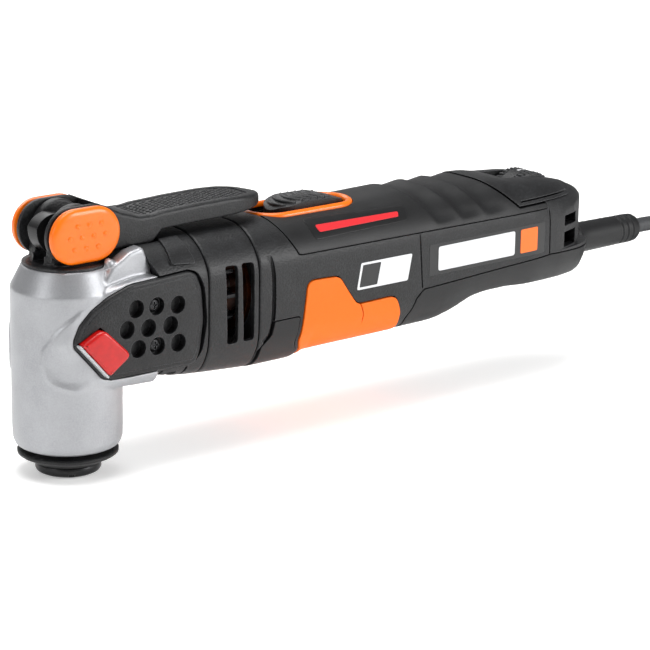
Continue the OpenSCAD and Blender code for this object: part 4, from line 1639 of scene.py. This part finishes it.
@dataclass
class BodyShell:
    """Nose collar, fan ring, clamshell housing and the skins that lie in it.

    Attributes:
        front: front end of the nose collar.
        seam_1: where the nose collar meets the fan ring.
        seam_2: where the fan ring meets the clamshells.
        end: rear end.
        skin: depth of the skins.
        motor: radius of the motor space.
        axis: height of the motor's axis.
    """

    front: float = 24.0
    seam_1: float = 52.0
    seam_2: float = 78.0
    end: float = 280.0
    skin: float = 2.6
    motor: float = 23.2
    axis: float = 62.0

    def build(self) -> None:
        """Builds every piece of the body."""
        self.nose()
        self.fan_ring()
        self.housing()
        self.grips()
        self.inserts()
        self.tail()
        self.labels()
        self.screws()

    def nose(self) -> None:
        """Black collar that joins the cast head to the body."""
        collar = FORM.run(self.front, self.seam_1 - 0.5, roll=0.7, step=1.2)
        side = rounded([(28, 78), (28, 34.6), (45, 28.5), (60, 26), (60, 100), (40, 100),
                        (38, 91.5), (24.4, 91.5), (25.6, 84)], [1, 2, 3, 0, 0, 0, 1.5, 2, 1])
        collar.keep(slab(side, Axis.Y, -CLEAR, CLEAR))
        hump = rounded([(34.6, 81.6), (46.2, 80.6), (44.4, 92.6), (36.4, 92.6)], 1.2)
        for low, high in ((13.5, 26.6), (-26.6, -13.5)):
            ridge = slab(hump, Axis.Y, low, high)
            collar.join(ridge.keep(FORM.run(32, 48, inset=-1.1, roll=1.1)))
        recess = offset(rounded(COVER, COVER_RADII), -0.75)
        collar.cut(
            block((20, -18.05, 33.9), (44.02, 18.05, 85.9)),
            rod(Axis.X, 43, 60, 19.5, (0, self.axis), 96),
            slab(recess, Axis.Y, 20.3, CLEAR), slab(recess, Axis.Y, -CLEAR, -20.3),
            block((4, -13.3, 87.8), (37.5, 13.3, 100)),
        )
        cheek = rounded([(8, 30), (27.9, 30), (27.9, 78), (24.1, 89.9), (16, 91)], 1.0)
        for low, high in ((12, 20.3), (-20.3, -12)):
            collar.cut(slab(cheek, Axis.Y, low, high))
            near, far = (14, CLEAR) if low > 0 else (-CLEAR, -14)
            for x, width, z in ((30.2, 1.6, 37.4), (34.4, 4.4, 35.6), (42.6, 1.3, 37.0)):
                collar.cut(block((x, near, 24), (x + width, far, z)))
        collar.emit("nose_collar_shell", BLACK_NYLON, "black_plastic", nodes=["nose_collar"])

    def fan_ring(self) -> None:
        """Ring over the cooling fan, with two tall slots on each side."""
        ring = FORM.run(self.seam_1, self.seam_2 - 0.5, roll=0.7, step=1.2)
        ring.cut(rod(Axis.X, 50, 80, self.motor, (0, self.axis), 120))
        ring.cut(FORM.run(56.8, 76, inset=2.2, roll=0.0, step=2).keep(block((50, -40, 41.5),
                                                                         (80, 40, 79))))
        for low, high in ((20, 30), (-30, -20)):
            for x in (60.2, 68.6):
                shape = rounded([(x + 0.9, 43.8), (x + 6.4, 43.8), (x + 6.4, 76.8), (x, 77.2),
                                 (x + 0.4, 60)], [1.6, 1.6, 1.6, 1.6, 0.2])
                ring.cut(slab(shape, Axis.Y, low, high))
        ring.emit("fan_ring_shell", BLACK_NYLON, "black_plastic", nodes=["vent_ring"])

    def region(self, outline: Outline, radii: float | Sequence[float] = 1.5,
               gap: float = SEAM) -> Solid:
        """Prism over a region of the skin, a seam's width smaller than its outline."""
        return slab(offset(rounded(outline, radii), gap), Axis.Y, -CLEAR, CLEAR)

    def half(self, way: int, gap: float) -> Solid:
        """Space that holds one clamshell, from a gap beside the parting plane outwards."""
        near, far = sorted((way * gap, way * 60))
        return block((60, near, 0), (300, far, 120))

    def over(self, outline: Outline, start: float, end: float, proud: float = 0.0,
             swell: Swell | None = None, radii: float | Sequence[float] = 1.5) -> Solid:
        """Skin that fills one region of the body's outer face.

        Args:
            outline: the region, as (x, z).
            start: a place ahead of it.
            end: a place behind it.
            proud: how far it stands out.
            swell: adds to its radius.
            radii: radius of its corners.

        Returns:
            The skin.
        """
        outer = FORM.run(start, end, inset=-proud, roll=0.0, step=1.0, swell=swell)
        inner = FORM.run(start - 2, end + 2 if end < self.end else end - 2.3, inset=self.skin,
                         roll=0.0, step=2.0)
        return outer.keep(self.region(outline, radii)).cut(inner)

    def dial_well(self) -> Solid:
        """Space that the speed dial turns in."""
        return block((231.5, -8, 53.9), (268.5, 8, 100))

    def switch_well(self, half: float) -> Solid:
        """Space that the switch surround sits in."""
        return slab(stadium(118.2, 0, half + 14.6, half, 24), Axis.Z, 80, 110)

    def housing(self) -> None:
        """The two clamshells, with the motor space, vents and seams cut into them."""
        shell = FORM.run(self.seam_2, self.end, roll=0.8, step=1.2)
        for outline in (TOP_REGION, TAIL_REGION, BELLY_FRONT, BELLY_REAR):
            shell.cut(self.region(outline, gap=-0.02))
        shell.cut(self.region(INSERT, INSERT_RADII, -0.02))
        core = FORM.run(self.seam_2 + 0.4, self.end - 2.6, inset=self.skin + 0.02, roll=0.4,
                        step=1.2)
        shell.join(core)
        hollow = FORM.run(170, 268, inset=5.4, roll=0.0, step=2.0)
        shell.cut(
            hollow, rod(Axis.X, 70, 133, self.motor, (0, self.axis), 120),
            rod(Axis.X, 132.9, 150, 21.6, (0, self.axis), 96),
            rod(Axis.X, 149.9, 155, 12, (0, self.axis)), rod(Axis.X, 154.9, 161.1, 9.5, (0, 62.0)),
            rod(Axis.X, 161, 171, 6, (0, self.axis)),
            block((100, -9.5, 84), (138, 9.5, 100)), block((100, -4.5, 84.9), (206, 4.5, 88.4)),
            self.dial_well(), rod(Axis.X, 262, 290, 6.3, (0, 50.3)),
            self.switch_well(12.85).cut(block((60, -40, 70), (180, 40, 87.2))),
        )
        crescent: Outline = [(79.4, 82.6), (82.9, 79.2), (84.9, 71), (85.3, 60), (84.9, 51),
                             (83.3, 44.6), (80.0, 41.6)]
        curve = [tuple(p) for p in curve_through(crescent, 6)]
        lines = [(band(curve, 2.3), 25.4), (band([(165.6, 75.8), (166.4, 64), (167.6, 50.8)], 0.9),
                                            26.3),
                 (band([(244.4, 75.6), (244.9, 54.4)], 0.8), 24.9)]
        for outline, depth in lines:
            shell.cut(slab(outline, Axis.Y, depth, CLEAR), slab(outline, Axis.Y, -CLEAR, -depth))
        for low, high in ((55.6, 62.7), (65.5, 70.4)):
            shell.cut(block((255.4, 9, low), (266.4, CLEAR, high)),
                      block((255.4, -CLEAR, low), (266.4, -9, high)))
        shell.cut(self.rear_shoulder(), *self.counterbores())
        left = shell.copy().keep(self.half(-1, 0.06))
        shell.keep(self.half(1, 0.06))
        left.emit("housing_shell_left", BLACK_NYLON, "black_plastic", nodes=["housing_left"])
        shell.emit("housing_shell_right", BLACK_NYLON, "black_plastic", nodes=["housing_right"])

    def rear_shoulder(self) -> Solid:
        """What the upper rear falls short of the lower rear by.

        Returns:
            The space to cut away.
        """
        half = ((230, 40), (236, 28), (254, 25.0), (264, 21.6), (271, 17.8), (275.4, 12.6),
                (277.4, 6))
        plan = [*half, *[(x, -y) for x, y in half[::-1]]]
        narrow = slab(rounded(plan, [0, *[8] * 5, 6, 6, *[8] * 5, 0]), Axis.Z, 50, 115)
        return block((236, -39, 54.9), (292, 39, 110)).cut(narrow)

    def grips(self) -> None:
        """Soft grips over the top and under the belly."""
        top = self.over(TOP_REGION, 86, 250, 0.25, grip_waves)
        top.cut(self.switch_well(13.1), block((100, -4.5, 84), (206, 4.5, 87.9)),
                *self.counterbores())
        top.emit("top_grip_skin", SOFT_GRIP, "soft_black", nodes=["top_grip"])
        rear = self.over(BELLY_REAR, 150, self.end, 0.2, radii=3.0)
        front = self.over(BELLY_FRONT, 80, 110, 0.2)
        rear.join(front).cut(rod(Axis.X, 262, 290, 6.3, (0, 50.3)), *self.counterbores())
        rear.emit("belly_grip_skin", SOFT_GRIP, "soft_black", nodes=["belly_grip"])

    def counterbores(self) -> list[Solid]:
        """Holes over the housing screws, which enter from the right."""
        return [rod(Axis.Y, 18, 40, 3.2, (x, z), 36) for x, z in HOUSING_SCREWS]

    def inserts(self) -> None:
        """Orange inserts under the hand, one on each side."""
        whole = self.over(INSERT, 90, 166, 0.5, radii=INSERT_RADII)
        for low, high in ((25.4, 40), (-40, -25.4)):
            line = [(131.6, 51.0), (134.2, 44.5), (133.6, 37), (131.0, 30)]
            crease = slab(band([tuple(p) for p in curve_through(line, 6)], 0.5), Axis.Y, low, high)
            whole.cut(crease)
        left = whole.copy().keep(self.half(-1, 0.08))
        whole.keep(self.half(1, 0.08)).cut(*self.counterbores())
        left.emit("colour_insert_skin_left", ORANGE_SOFT, "orange_soft",
                  nodes=["colour_insert_left"])
        whole.emit("colour_insert_skin_right", ORANGE_SOFT, "orange_soft",
                   nodes=["colour_insert_right"])

    def tail(self) -> None:
        """Cap over the dial at the rear of the top."""
        cap = self.over(TAIL_REGION, 190, 276, 0.5)
        ledge = band([(227.5, 80.4), (262, 80.4)], 0.7)
        cap.cut(self.dial_well(), self.rear_shoulder(), slab(ledge, Axis.Y, 18, CLEAR),
                slab(ledge, Axis.Y, -CLEAR, -18), *self.counterbores())
        cap.emit("tail_cap_skin", BLACK_NYLON, "black_plastic", nodes=["tail_cap"])

    def film(self, outline: Outline, rise: float, base: float = 0.4) -> Solid:
        """Thin label that follows the body's face.

        Args:
            outline: its outline as (x, z).
            rise: how far it stands out.
            base: how deep it reaches in.

        Returns:
            The label on both sides.
        """
        xs = [p[0] for p in outline]
        start, end = min(xs) - 3, max(xs) + 3
        outer = FORM.run(start, end, inset=-rise, roll=0.0, step=1.2)
        inner = FORM.run(start - 1, end + 1, inset=base, roll=0.0, step=1.2)
        return outer.keep(slab(outline, Axis.Y, -CLEAR, CLEAR)).cut(inner)

    def labels(self) -> None:
        """Plain labels: a name plate, a badge and an inlay, with no lettering."""
        plate = rounded([(171.2, 55.8), (240.8, 56.0), (240.8, 70.2), (171.2, 69.6)], 0.8)
        self.film(plate, 0.08).emit("name_plate_backs", BLACK_PRINT, "black_plastic",
                                    nodes=["name_plates"])
        white = rounded([(176.4, 57.4), (222.0, 57.6), (222.0, 68.6), (176.4, 68.2)], 1.2)
        self.film(white, 0.2).emit("name_plate_faces", WHITE_PRINT, "plate_white",
                                   nodes=["name_plates"])
        stripe = rounded([(225.6, 57.7), (236.0, 57.8), (236.0, 68.7), (225.6, 68.6)], 0.8)
        self.film(stripe, 0.2).emit("name_plate_stripes", ORANGE_PRINT, "orange_plastic")
        badge = rounded([(130.2, 56.0), (158.8, 56.0), (161.2, 67.6), (132.4, 67.6)], 0.8)
        self.film(badge, 0.06).emit("badge_backs", WHITE_PRINT, "plate_white")
        dark = rounded([(131.5, 57.0), (141.4, 57.0), (143.5, 66.6), (133.4, 66.6)], 0.5)
        self.film(dark, 0.12).emit("badge_panels", BLACK_PRINT, "black_plastic")
        inlay = rounded([(109.6, 80.8), (161.2, 81.8), (163.4, 87.0), (108.2, 88.2)], 1.6)
        self.film(inlay, 0.38, 0.1).emit("grip_inlays", BLACK_PRINT, "black_plastic")
        bar = rounded([(113.0, 83.2), (156.8, 83.6), (158.2, 85.4), (112.2, 85.8)], 0.9)
        self.film(bar, 0.48, 0.1).emit("grip_inlay_bars", RED_PRINT, "red_plastic")

    def screws(self) -> None:
        """Screws that hold the clamshells together."""
        parts = []
        for x, z in HOUSING_SCREWS:
            screw = lathe([(0, -13), (1.6, -13), (1.6, 18.1), (2.95, 18.1), (3.0, 19.2),
                           (2.4, 19.9), (0, 20.1)], Axis.Y, (x, z), 32)
            parts.append(cross_recess(screw, (x, z), 19.0, 3.4, 0.8))
        gather(*parts).emit("housing_screw_set", BLACK_STEEL, "screw_steel",
                            nodes=["housing_screws"])


# ---------- controls ----------


@dataclass
class Controls:
    """Slide switch, its orange surround, and the speed dial.

    Attributes:
        middle: middle of the surround along the tool.
        outer: half the surround's outer width.
        inner: half the surround's inner width.
        dial_radius: radius of the speed dial.
        dial_place: place (x, z) of the dial's axis.
    """

    middle: float = 118.2
    outer: float = 12.8
    inner: float = 9.7
    dial_radius: float = 17.0
    dial_place: tuple[float, float] = (250.0, 71.4)

    def build(self) -> None:
        """Builds the switch and the dial."""
        self.surround()
        self.slider()
        self.dial()

    def surround(self) -> None:
        """Rounded orange rim round the slide switch."""
        outline = stadium(self.middle, 0, self.outer + 14.6, self.outer, 28)
        wall = self.outer - self.inner
        edge = ((0, 88.9), (0, 89.9), (0.3, 90.5), (0.9, 90.95), (1.6, 91.05), (2.3, 90.9),
                (2.9, 90.3), (wall, 89.4))
        rim = loft([lift(Axis.Z, offset(outline, inward), z) for inward, z in edge])
        hole = slab(offset(outline, wall), Axis.Z, 80, 100)
        rim.cut(hole)
        rim.emit("switch_surround", ORANGE_ABS, "orange_plastic", nodes=["switch_ring"])
        liner = slab(outline, Axis.Z, 87.25, 88.85).cut(slab(offset(outline, wall - 0.2), Axis.Z,
                                                             80, 100))
        liner.emit("switch_surround_liner", BLACK_NYLON, "black_plastic", nodes=["switch_ring"])

    def slider(self) -> None:
        """Slide switch with curved ridges across its top."""
        plan = stadium(121.8, 0, 18.9, 9.1, 28)
        side: Outline = [(101.6, 88.8), (103, 87.4), (139.4, 87.4), (140.8, 88.8), (139.4, 91.0),
                         (130, 93.3), (114, 93.6), (104.6, 91.4)]
        body = slab(rounded(side, [1, 0.3, 0.3, 1, 3, 6, 6, 3]), Axis.Y, -13, 13)
        body.keep(slab(plan, Axis.Z, 80, 110))
        body.join(block((112.5, -4, 85.0), (132, 4, 88)), block((112.5, -3.5, 85.0),
                                                                (186, 3.5, 87.0)))
        ridges = []
        for x in (107.6, 111.6, 115.6, 119.6, 123.6, 127.6, 131.6):
            top = float(np.interp(x, [104.6, 114, 130, 139.4], [91.4, 93.6, 93.3, 91.0]))
            bow = np.linspace(-1, 1, 13)
            reach = 7.6 if 109 < x < 129 else 5.8
            line = np.stack([x - 2.2 * (1 - bow**2), bow * reach, np.full(13, top - 0.1)], 1)
            ridges.append(tube(line, 0.8, 10))
        body = gather(body, *ridges)
        body.emit("switch_thumb_slide", BLACK_NYLON, "black_plastic", Body.SWITCH,
                  ["switch_slider"])

    def dial(self) -> None:
        """Thumbwheel with teeth on its two rims and numbers on a smooth band between."""
        cx, cz = self.dial_place
        r = self.dial_radius
        wheel = lathe([(0, -7), (r - 2.2, -7), (r - 1.2, -6.6), (r - 1.0, -3.2), (r - 0.5, -2.9),
                       (r - 0.5, 2.9), (r - 1.0, 3.2), (r - 1.2, 6.6), (r - 2.2, 7), (0, 7)],
                      Axis.Y, (cx, cz), 96)
        places, turns = [], []
        for k in range(44):
            angle = 2 * math.pi * k / 44
            for y in (-4.9, 4.9):
                places.append((cx + (r - 1.15) * math.cos(angle), y,
                               cz + (r - 1.15) * math.sin(angle)))
                turns.append((math.pi / 2, 0.0, 0.0))
        teeth = Repeats(Shape.BAR, 0.8, 3.0, 8).make(places, BLACK_NYLON, turns)
        gather(wheel, teeth).emit("speed_dial_wheel", BLACK_NYLON, "black_plastic", Body.DIAL,
                                  ["speed_dial"])
        marks = [self.number(str(n), math.radians(90 + 40 * (n - 3))) for n in range(1, 7)]
        gather(*marks).emit("speed_dial_numbers", WHITE_PRINT, "plate_white", Body.DIAL)

    def number(self, text: str, angle: float) -> Solid:
        """One number on the dial's rim.

        Args:
            text: the digit.
            angle: its place round the dial.

        Returns:
            The number as a thin solid.
        """
        data = bpy.data.curves.new("digit", "FONT")
        data.body = text
        data.size = 5.2
        data.extrude = 0.1
        data.align_x = "CENTER"
        data.align_y = "CENTER"
        source = bpy.data.objects.new("digit", data)
        bpy.context.scene.collection.objects.link(source)
        graph = bpy.context.evaluated_depsgraph_get()
        mesh = bpy.data.meshes.new_from_object(source.evaluated_get(graph))
        bpy.data.objects.remove(source)
        cx, cz = self.dial_place
        stand = Matrix.Rotation(-angle + math.pi / 2, 4, "Y")
        lay = Matrix.Rotation(math.pi / 2, 4, "Z")
        out = Matrix.Translation((0, 0, self.dial_radius - 0.45))
        place = Matrix.Translation((cx, 0, cz)) @ stand @ out @ lay
        return Solid.of(mesh).moved(place)


# ---------- mains lead ----------


@dataclass
class MainsLead:
    """The mains lead: strain relief, visible run, put-away hank, its tie and the plug.

    Attributes:
        diameter: the lead's diameter.
        exit: where it leaves the strain relief.
        hank_x: where the hank's straight runs begin.
        run: length of a straight run.
        inner: bend radius of the inner turns.
        outer: bend radius of the outer turns.
        floor: height of the ground.
        lead_in: points of the run down from the strain relief to the hank.
        lead_out: points of the end that rises from the hank to the plug.
        plug_x: front of the plug.
        plug_z: height of the cord where it goes into the plug.
    """

    diameter: float = 7.0
    exit: Point = (325.0, 0.0, 50.3)
    hank_x: float = 390.0
    run: float = 100.0
    inner: float = 21.0
    outer: float = 28.0
    floor: float = -4.5
    lead_in: tuple = ((325, 0, 50.3), (337, 0, 50.2), (348, -1.5, 48.8), (358, -5, 45.5),
                      (367, -10, 40.5), (376, -16, 34.5), (385, -21.5, 28.8), (395, -25.5, 24),
                      (406, -27.6, 21), (418, -28, 20), (430, -28, 20))
    lead_out: tuple = ((478, -28, -1), (489, -28, 0.2), (500, -28, 2.4), (510, -28, 4))
    plug_x: float = 510.0
    plug_z: float = 4.0

    def build(self) -> None:
        """Builds the lead and what belongs to it."""
        plug = self.plug()
        tie = self.tie()
        self.cord([*plug, tie])
        self.boot()

    def winding(self) -> list[np.ndarray]:
        """Centre line of the hank, from the top outer turn to the bottom outer run.

        Returns:
            Points in order.
        """
        radii = [self.outer, self.inner, self.inner, self.outer, self.outer, self.inner,
                 self.inner, self.outer]
        levels = [20.0, 20.0, 13.0, 13.0, 6.0, 6.0, -1.0, -1.0]
        far = self.hank_x + self.run
        points = [np.array([430.0 + 12 * k, -self.outer, 20.0]) for k in range(1, 5)]
        for k in range(len(radii)):
            here, level = radii[k], levels[k]
            swap = k == len(radii) - 2
            ahead = radii[k + 1] if k + 1 < len(radii) else here
            drop = levels[k + 1] if k + 1 < len(radii) else level
            if k > 0 and k < len(radii) - 1:
                points += [np.array([x, -here, level])
                           for x in np.linspace(self.hank_x + 6, far - 6, 8)]
            if k == len(radii) - 1:
                points += [np.array([x, -here, level])
                           for x in np.linspace(self.hank_x + 6, 474, 7)]
                break
            for t in np.linspace(0, 1, 15):
                radius = here + (ahead - here) * t if swap else here
                turn = -math.pi / 2 + math.pi * t
                points.append(np.array([far + radius * math.cos(turn),
                                        radius * math.sin(turn), level]))
            side = ahead if swap else here
            points += [np.array([x, side, level])
                       for x in np.linspace(far - 6, self.hank_x + 6, 8)]
            for t in np.linspace(0, 1, 15):
                ease = t * t * (3 - 2 * t)
                radius = side + (ahead - side) * ease
                turn = math.pi / 2 + math.pi * t
                points.append(np.array([self.hank_x + radius * math.cos(turn),
                                        radius * math.sin(turn), level + (drop - level) * ease]))
        return points

    def route(self) -> np.ndarray:
        """Puts the whole centre line together, from the strain relief to the plug.

        Returns:
            Its points.
        """
        start = curve_through(self.lead_in, 3)
        end = curve_through(self.lead_out, 3)
        return np.array([*start, *self.winding(), *end])

    def cord(self, with_pieces: list[bpy.types.Object]) -> None:
        """The cord, drawn at its real length.

        Args:
            with_pieces: not used.
        """
        path = self.route()
        data = bpy.data.curves.new("mains_cord", "CURVE")
        data.dimensions = "3D"
        spline = data.splines.new("POLY")
        spline.points.add(len(path) - 1)
        metres = path * METRES
        spline.points.foreach_set("co", np.c_[metres, np.ones(len(path))].ravel())
        spline.use_smooth = True
        data.bevel_depth = self.diameter / 2 * METRES
        data.bevel_resolution = 5
        data.use_fill_caps = True
        data.materials.append(CORD_JACKET.material())
        piece = bpy.data.objects.new("mains_cord", data)
        bpy.context.scene.collection.objects.link(piece)
        settle(piece, Body.ROOT, ["cord", "cord_hank", "cord_tail"])

    def boot(self) -> None:
        """Tapered strain relief with ribs, and its stem inside the housing."""
        profile: Outline = [(0, 250), (3, 250), (3, 266.5), (6, 266.5), (6, 281), (8.2, 281),
                            (8.8, 281.5), (8.8, 283.6), (8.2, 284.4), (7.3, 286.5), (7.15, 290)]
        for x in (312.0, 315.4, 318.8):
            profile += [(6.85, x), (6.3, x + 0.3), (6.3, x + 1.1), (6.8, x + 1.4)]
        profile += [(6.6, 323.2), (5.9, 324.6), (4.9, 325), (0, 325)]
        lathe(profile, Axis.X, (0, 50.3), 64).emit(
            "cord_strain_relief", SOFT_GRIP, "soft_black", nodes=["cord_boot"]
        )

    def tie(self) -> bpy.types.Object:
        """Hook-and-loop strap round the hank.

        Returns:
            The strap.
        """
        half = self.outer + self.diameter / 2
        outline = rounded([(-half, self.floor), (half, self.floor), (half, 23.6), (-half, 23.6)],
                          4.0, 8)
        strap = slab(offset(outline, -0.45), Axis.X, 434, 447, 0.3, 0.3)
        strap.cut(slab(offset(outline, 0.5), Axis.X, 430, 450))
        strap.keep(block((400, -60, self.floor), (480, 60, 60)))
        return strap.emit("hank_tie_strap", SOFT_GRIP, "soft_black")

    def plug(self) -> list[bpy.types.Object]:
        """Moulded plug with grip ridges and two flat blades.

        Returns:
            The plug's body and its blades.
        """
        x, y = self.plug_x, -self.outer
        outline = rounded([(x + 8, y - 9.5), (x + 26, y - 12), (x + 38, y - 12), (x + 38, y + 12),
                           (x + 26, y + 12), (x + 8, y + 9.5)], [4, 5, 1.5, 1.5, 5, 4], 8)
        body = slab(outline, Axis.Z, self.floor, 12.5, 1.6, 2.6)
        body.join(lathe([(0, x), (4.6, x), (5, x + 0.5), (5, x + 9), (0, x + 9)], Axis.X,
                        (y, self.plug_z), 40))
        for k in range(4):
            for side in (-1, 1):
                edge = y + side * 12.6
                body.cut(rod(Axis.Z, self.floor + 3, 10.5, 1.1, (x + 17 + 4 * k, edge - side * 0.6
                                                                 * max(0, 1 - k)), 20))
        made = body.emit("plug_moulding", CORD_JACKET, "cord_jacket", nodes=["plug"])
        blades = [slab(rounded([(x + 37.9, 0.8), (x + 54, 0.8), (x + 54, 7.2), (x + 37.9, 7.2)],
                               [0, 1.4, 1.4, 0]), Axis.Y, y + s * 6.35 - 0.75, y + s * 6.35 + 0.75,
                       0.2, 0.2) for s in (-1, 1)]
        metal = gather(*blades).emit("plug_blades", BRASS, "brass", nodes=["plug"])
        return [made, metal]


# ---------- what stays hidden ----------


HIDDEN_FINISHES: dict[Finish, tuple[str, ...]] = {
    GROUND_STEEL: ("spindle", "spindle_bearing_upper", "spindle_bearing_lower",
                   "bearing_retainer", "oscillating_fork", "push_rod", "clamp_springs",
                   "button_springs", "armature_shaft",
                   "drive_bearing", "front_bearing", "rear_bearing", "cord_clamp"),
    BLACK_STEEL: ("head_screws", "lever_pin", "lever_cam", "counterweight"),
    CAST_ALUMINIUM: ("bearing_plate",),
    BLACK_NYLON: ("cooling_fan", "switch_block"),
    SHEET_STACK: ("armature_core", "stator_core"),
    COPPER_WIRE: ("armature_winding", "field_coils", "commutator"),
    BRASS: ("brush_holders",),
    CARBON: ("carbon_brushes",),
    CIRCUIT_BOARD: ("lamp_boards", "control_board"),
}


def dress_hidden() -> None:
    """Gives every CAD node that is carried over its own finish."""
    for finish, names in HIDDEN_FINISHES.items():
        for name in names:
            node = NODES[name]
            if not node.material_slots:
                node.data.materials.append(finish.material())
            for place in node.material_slots:
                place.material = finish.material()
            log.info("%s keeps its CAD solid", name)


# ---------- studio ----------


@dataclass(frozen=True)
class Studio:
    """Camera, floor and soft lights.

    Attributes:
        turn: camera's turn round the object, in degrees.
        rise: camera's height above the horizon, in degrees.
        roll: camera's roll, in degrees.
        distance: from the target, in metres.
        target: what it looks at, in metres.
        lens: focal length on a 36 mm sensor.
    """

    turn: float = 39.663
    rise: float = 15.968
    roll: float = 0.854
    distance: float = 1.151259
    target: Point = (0.135204, 0.0, 0.033647)
    lens: float = 146.098

    def camera(self) -> None:
        """Sets the camera."""
        a, e, roll = (math.radians(v) for v in (self.turn, self.rise, self.roll))
        back = Vector((-math.sin(a) * math.cos(e), -math.cos(a) * math.cos(e), math.sin(e)))
        right = Vector((math.cos(a), -math.sin(a), 0))
        up = back.cross(right)
        side = math.cos(roll) * right + math.sin(roll) * up
        top = -math.sin(roll) * right + math.cos(roll) * up
        data = bpy.data.cameras.new("camera")
        data.lens = self.lens
        data.sensor_width = 36.0
        data.clip_start = 0.05
        data.clip_end = 20.0
        eye = bpy.data.objects.new("camera", data)
        turned = Matrix((side, top, back)).transposed().to_4x4()
        eye.matrix_world = Matrix.Translation(Vector(self.target) + back * self.distance) @ turned
        bpy.context.scene.collection.objects.link(eye)
        bpy.context.scene.camera = eye

    def floor(self, height: float) -> None:
        """Plain pale floor.

        Args:
            height: its height in metres.
        """
        mesh = bpy.data.meshes.new("studio_floor")
        mesh.from_pydata([(-4, -4, height), (4, -4, height), (4, 4, height), (-4, 4, height)], [],
                         [(0, 1, 2, 3)])
        paper = bpy.data.materials.new("matt_white_backdrop_paper")
        paper.use_nodes = True
        shader = paper.node_tree.nodes["Principled BSDF"]
        shader.inputs["Base Color"].default_value = linear("#F7F7F6")
        shader.inputs["Roughness"].default_value = 0.9
        shader.inputs["Emission Color"].default_value = (1.0, 1.0, 1.0, 1.0)
        shader.inputs["Emission Strength"].default_value = 0.32
        mesh.materials.append(paper)
        ground = bpy.data.objects.new("studio_floor", mesh)
        bpy.context.scene.collection.objects.link(ground)

    def lamp(self, name: str, place: Point, size: tuple[float, float], power: float) -> None:
        """Soft box that points at the middle of the tool.

        Args:
            name: its name.
            place: where it stands, in metres.
            size: width and height, in metres.
            power: in watts.
        """
        data = bpy.data.lights.new(name, "AREA")
        data.shape = "RECTANGLE"
        data.size, data.size_y = size
        data.energy = power
        box = bpy.data.objects.new(name, data)
        box.location = place
        aim = Vector((0.13, 0, 0.06)) - Vector(place)
        box.rotation_euler = aim.to_track_quat("-Z", "Y").to_euler()
        bpy.context.scene.collection.objects.link(box)

    def build(self, floor_height: float) -> None:
        """Builds the studio.

        Args:
            floor_height: height of the floor, in metres.
        """
        self.camera()
        self.floor(floor_height)
        self.lamp("soft_box_top", (0.1, 0.05, 1.2), (1.0, 0.6), 14.0)
        self.lamp("soft_box_left", (-1.2, -0.1, 0.6), (0.3, 0.7), 4.5)
        self.lamp("soft_box_front", (0.8, -1.05, 0.5), (0.5, 0.6), 12.0)
        self.lamp("soft_box_back", (0.3, 1.2, 0.8), (1.2, 0.6), 6.0)
        world = bpy.data.worlds.new("studio_air")
        world.use_nodes = True
        air = world.node_tree.nodes["Background"]
        air.inputs["Color"].default_value = linear("#FBFBFC")
        air.inputs["Strength"].default_value = 0.3
        bpy.context.scene.world = world
        bpy.context.scene.view_settings.view_transform = "Standard"


def main() -> None:
    """Builds the studio, then each sub-assembly in order."""
    logging.basicConfig(level=logging.INFO, format="%(name)s: %(message)s")
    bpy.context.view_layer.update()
    Studio().build(GROUND_METRES)
    MainsLead().build()
    GearHead().build()
    ClampEnd().build()
    LeverSet().build()
    BodyShell().build()
    Controls().build()
    dress_hidden()


if __name__ == "__main__":
    main()
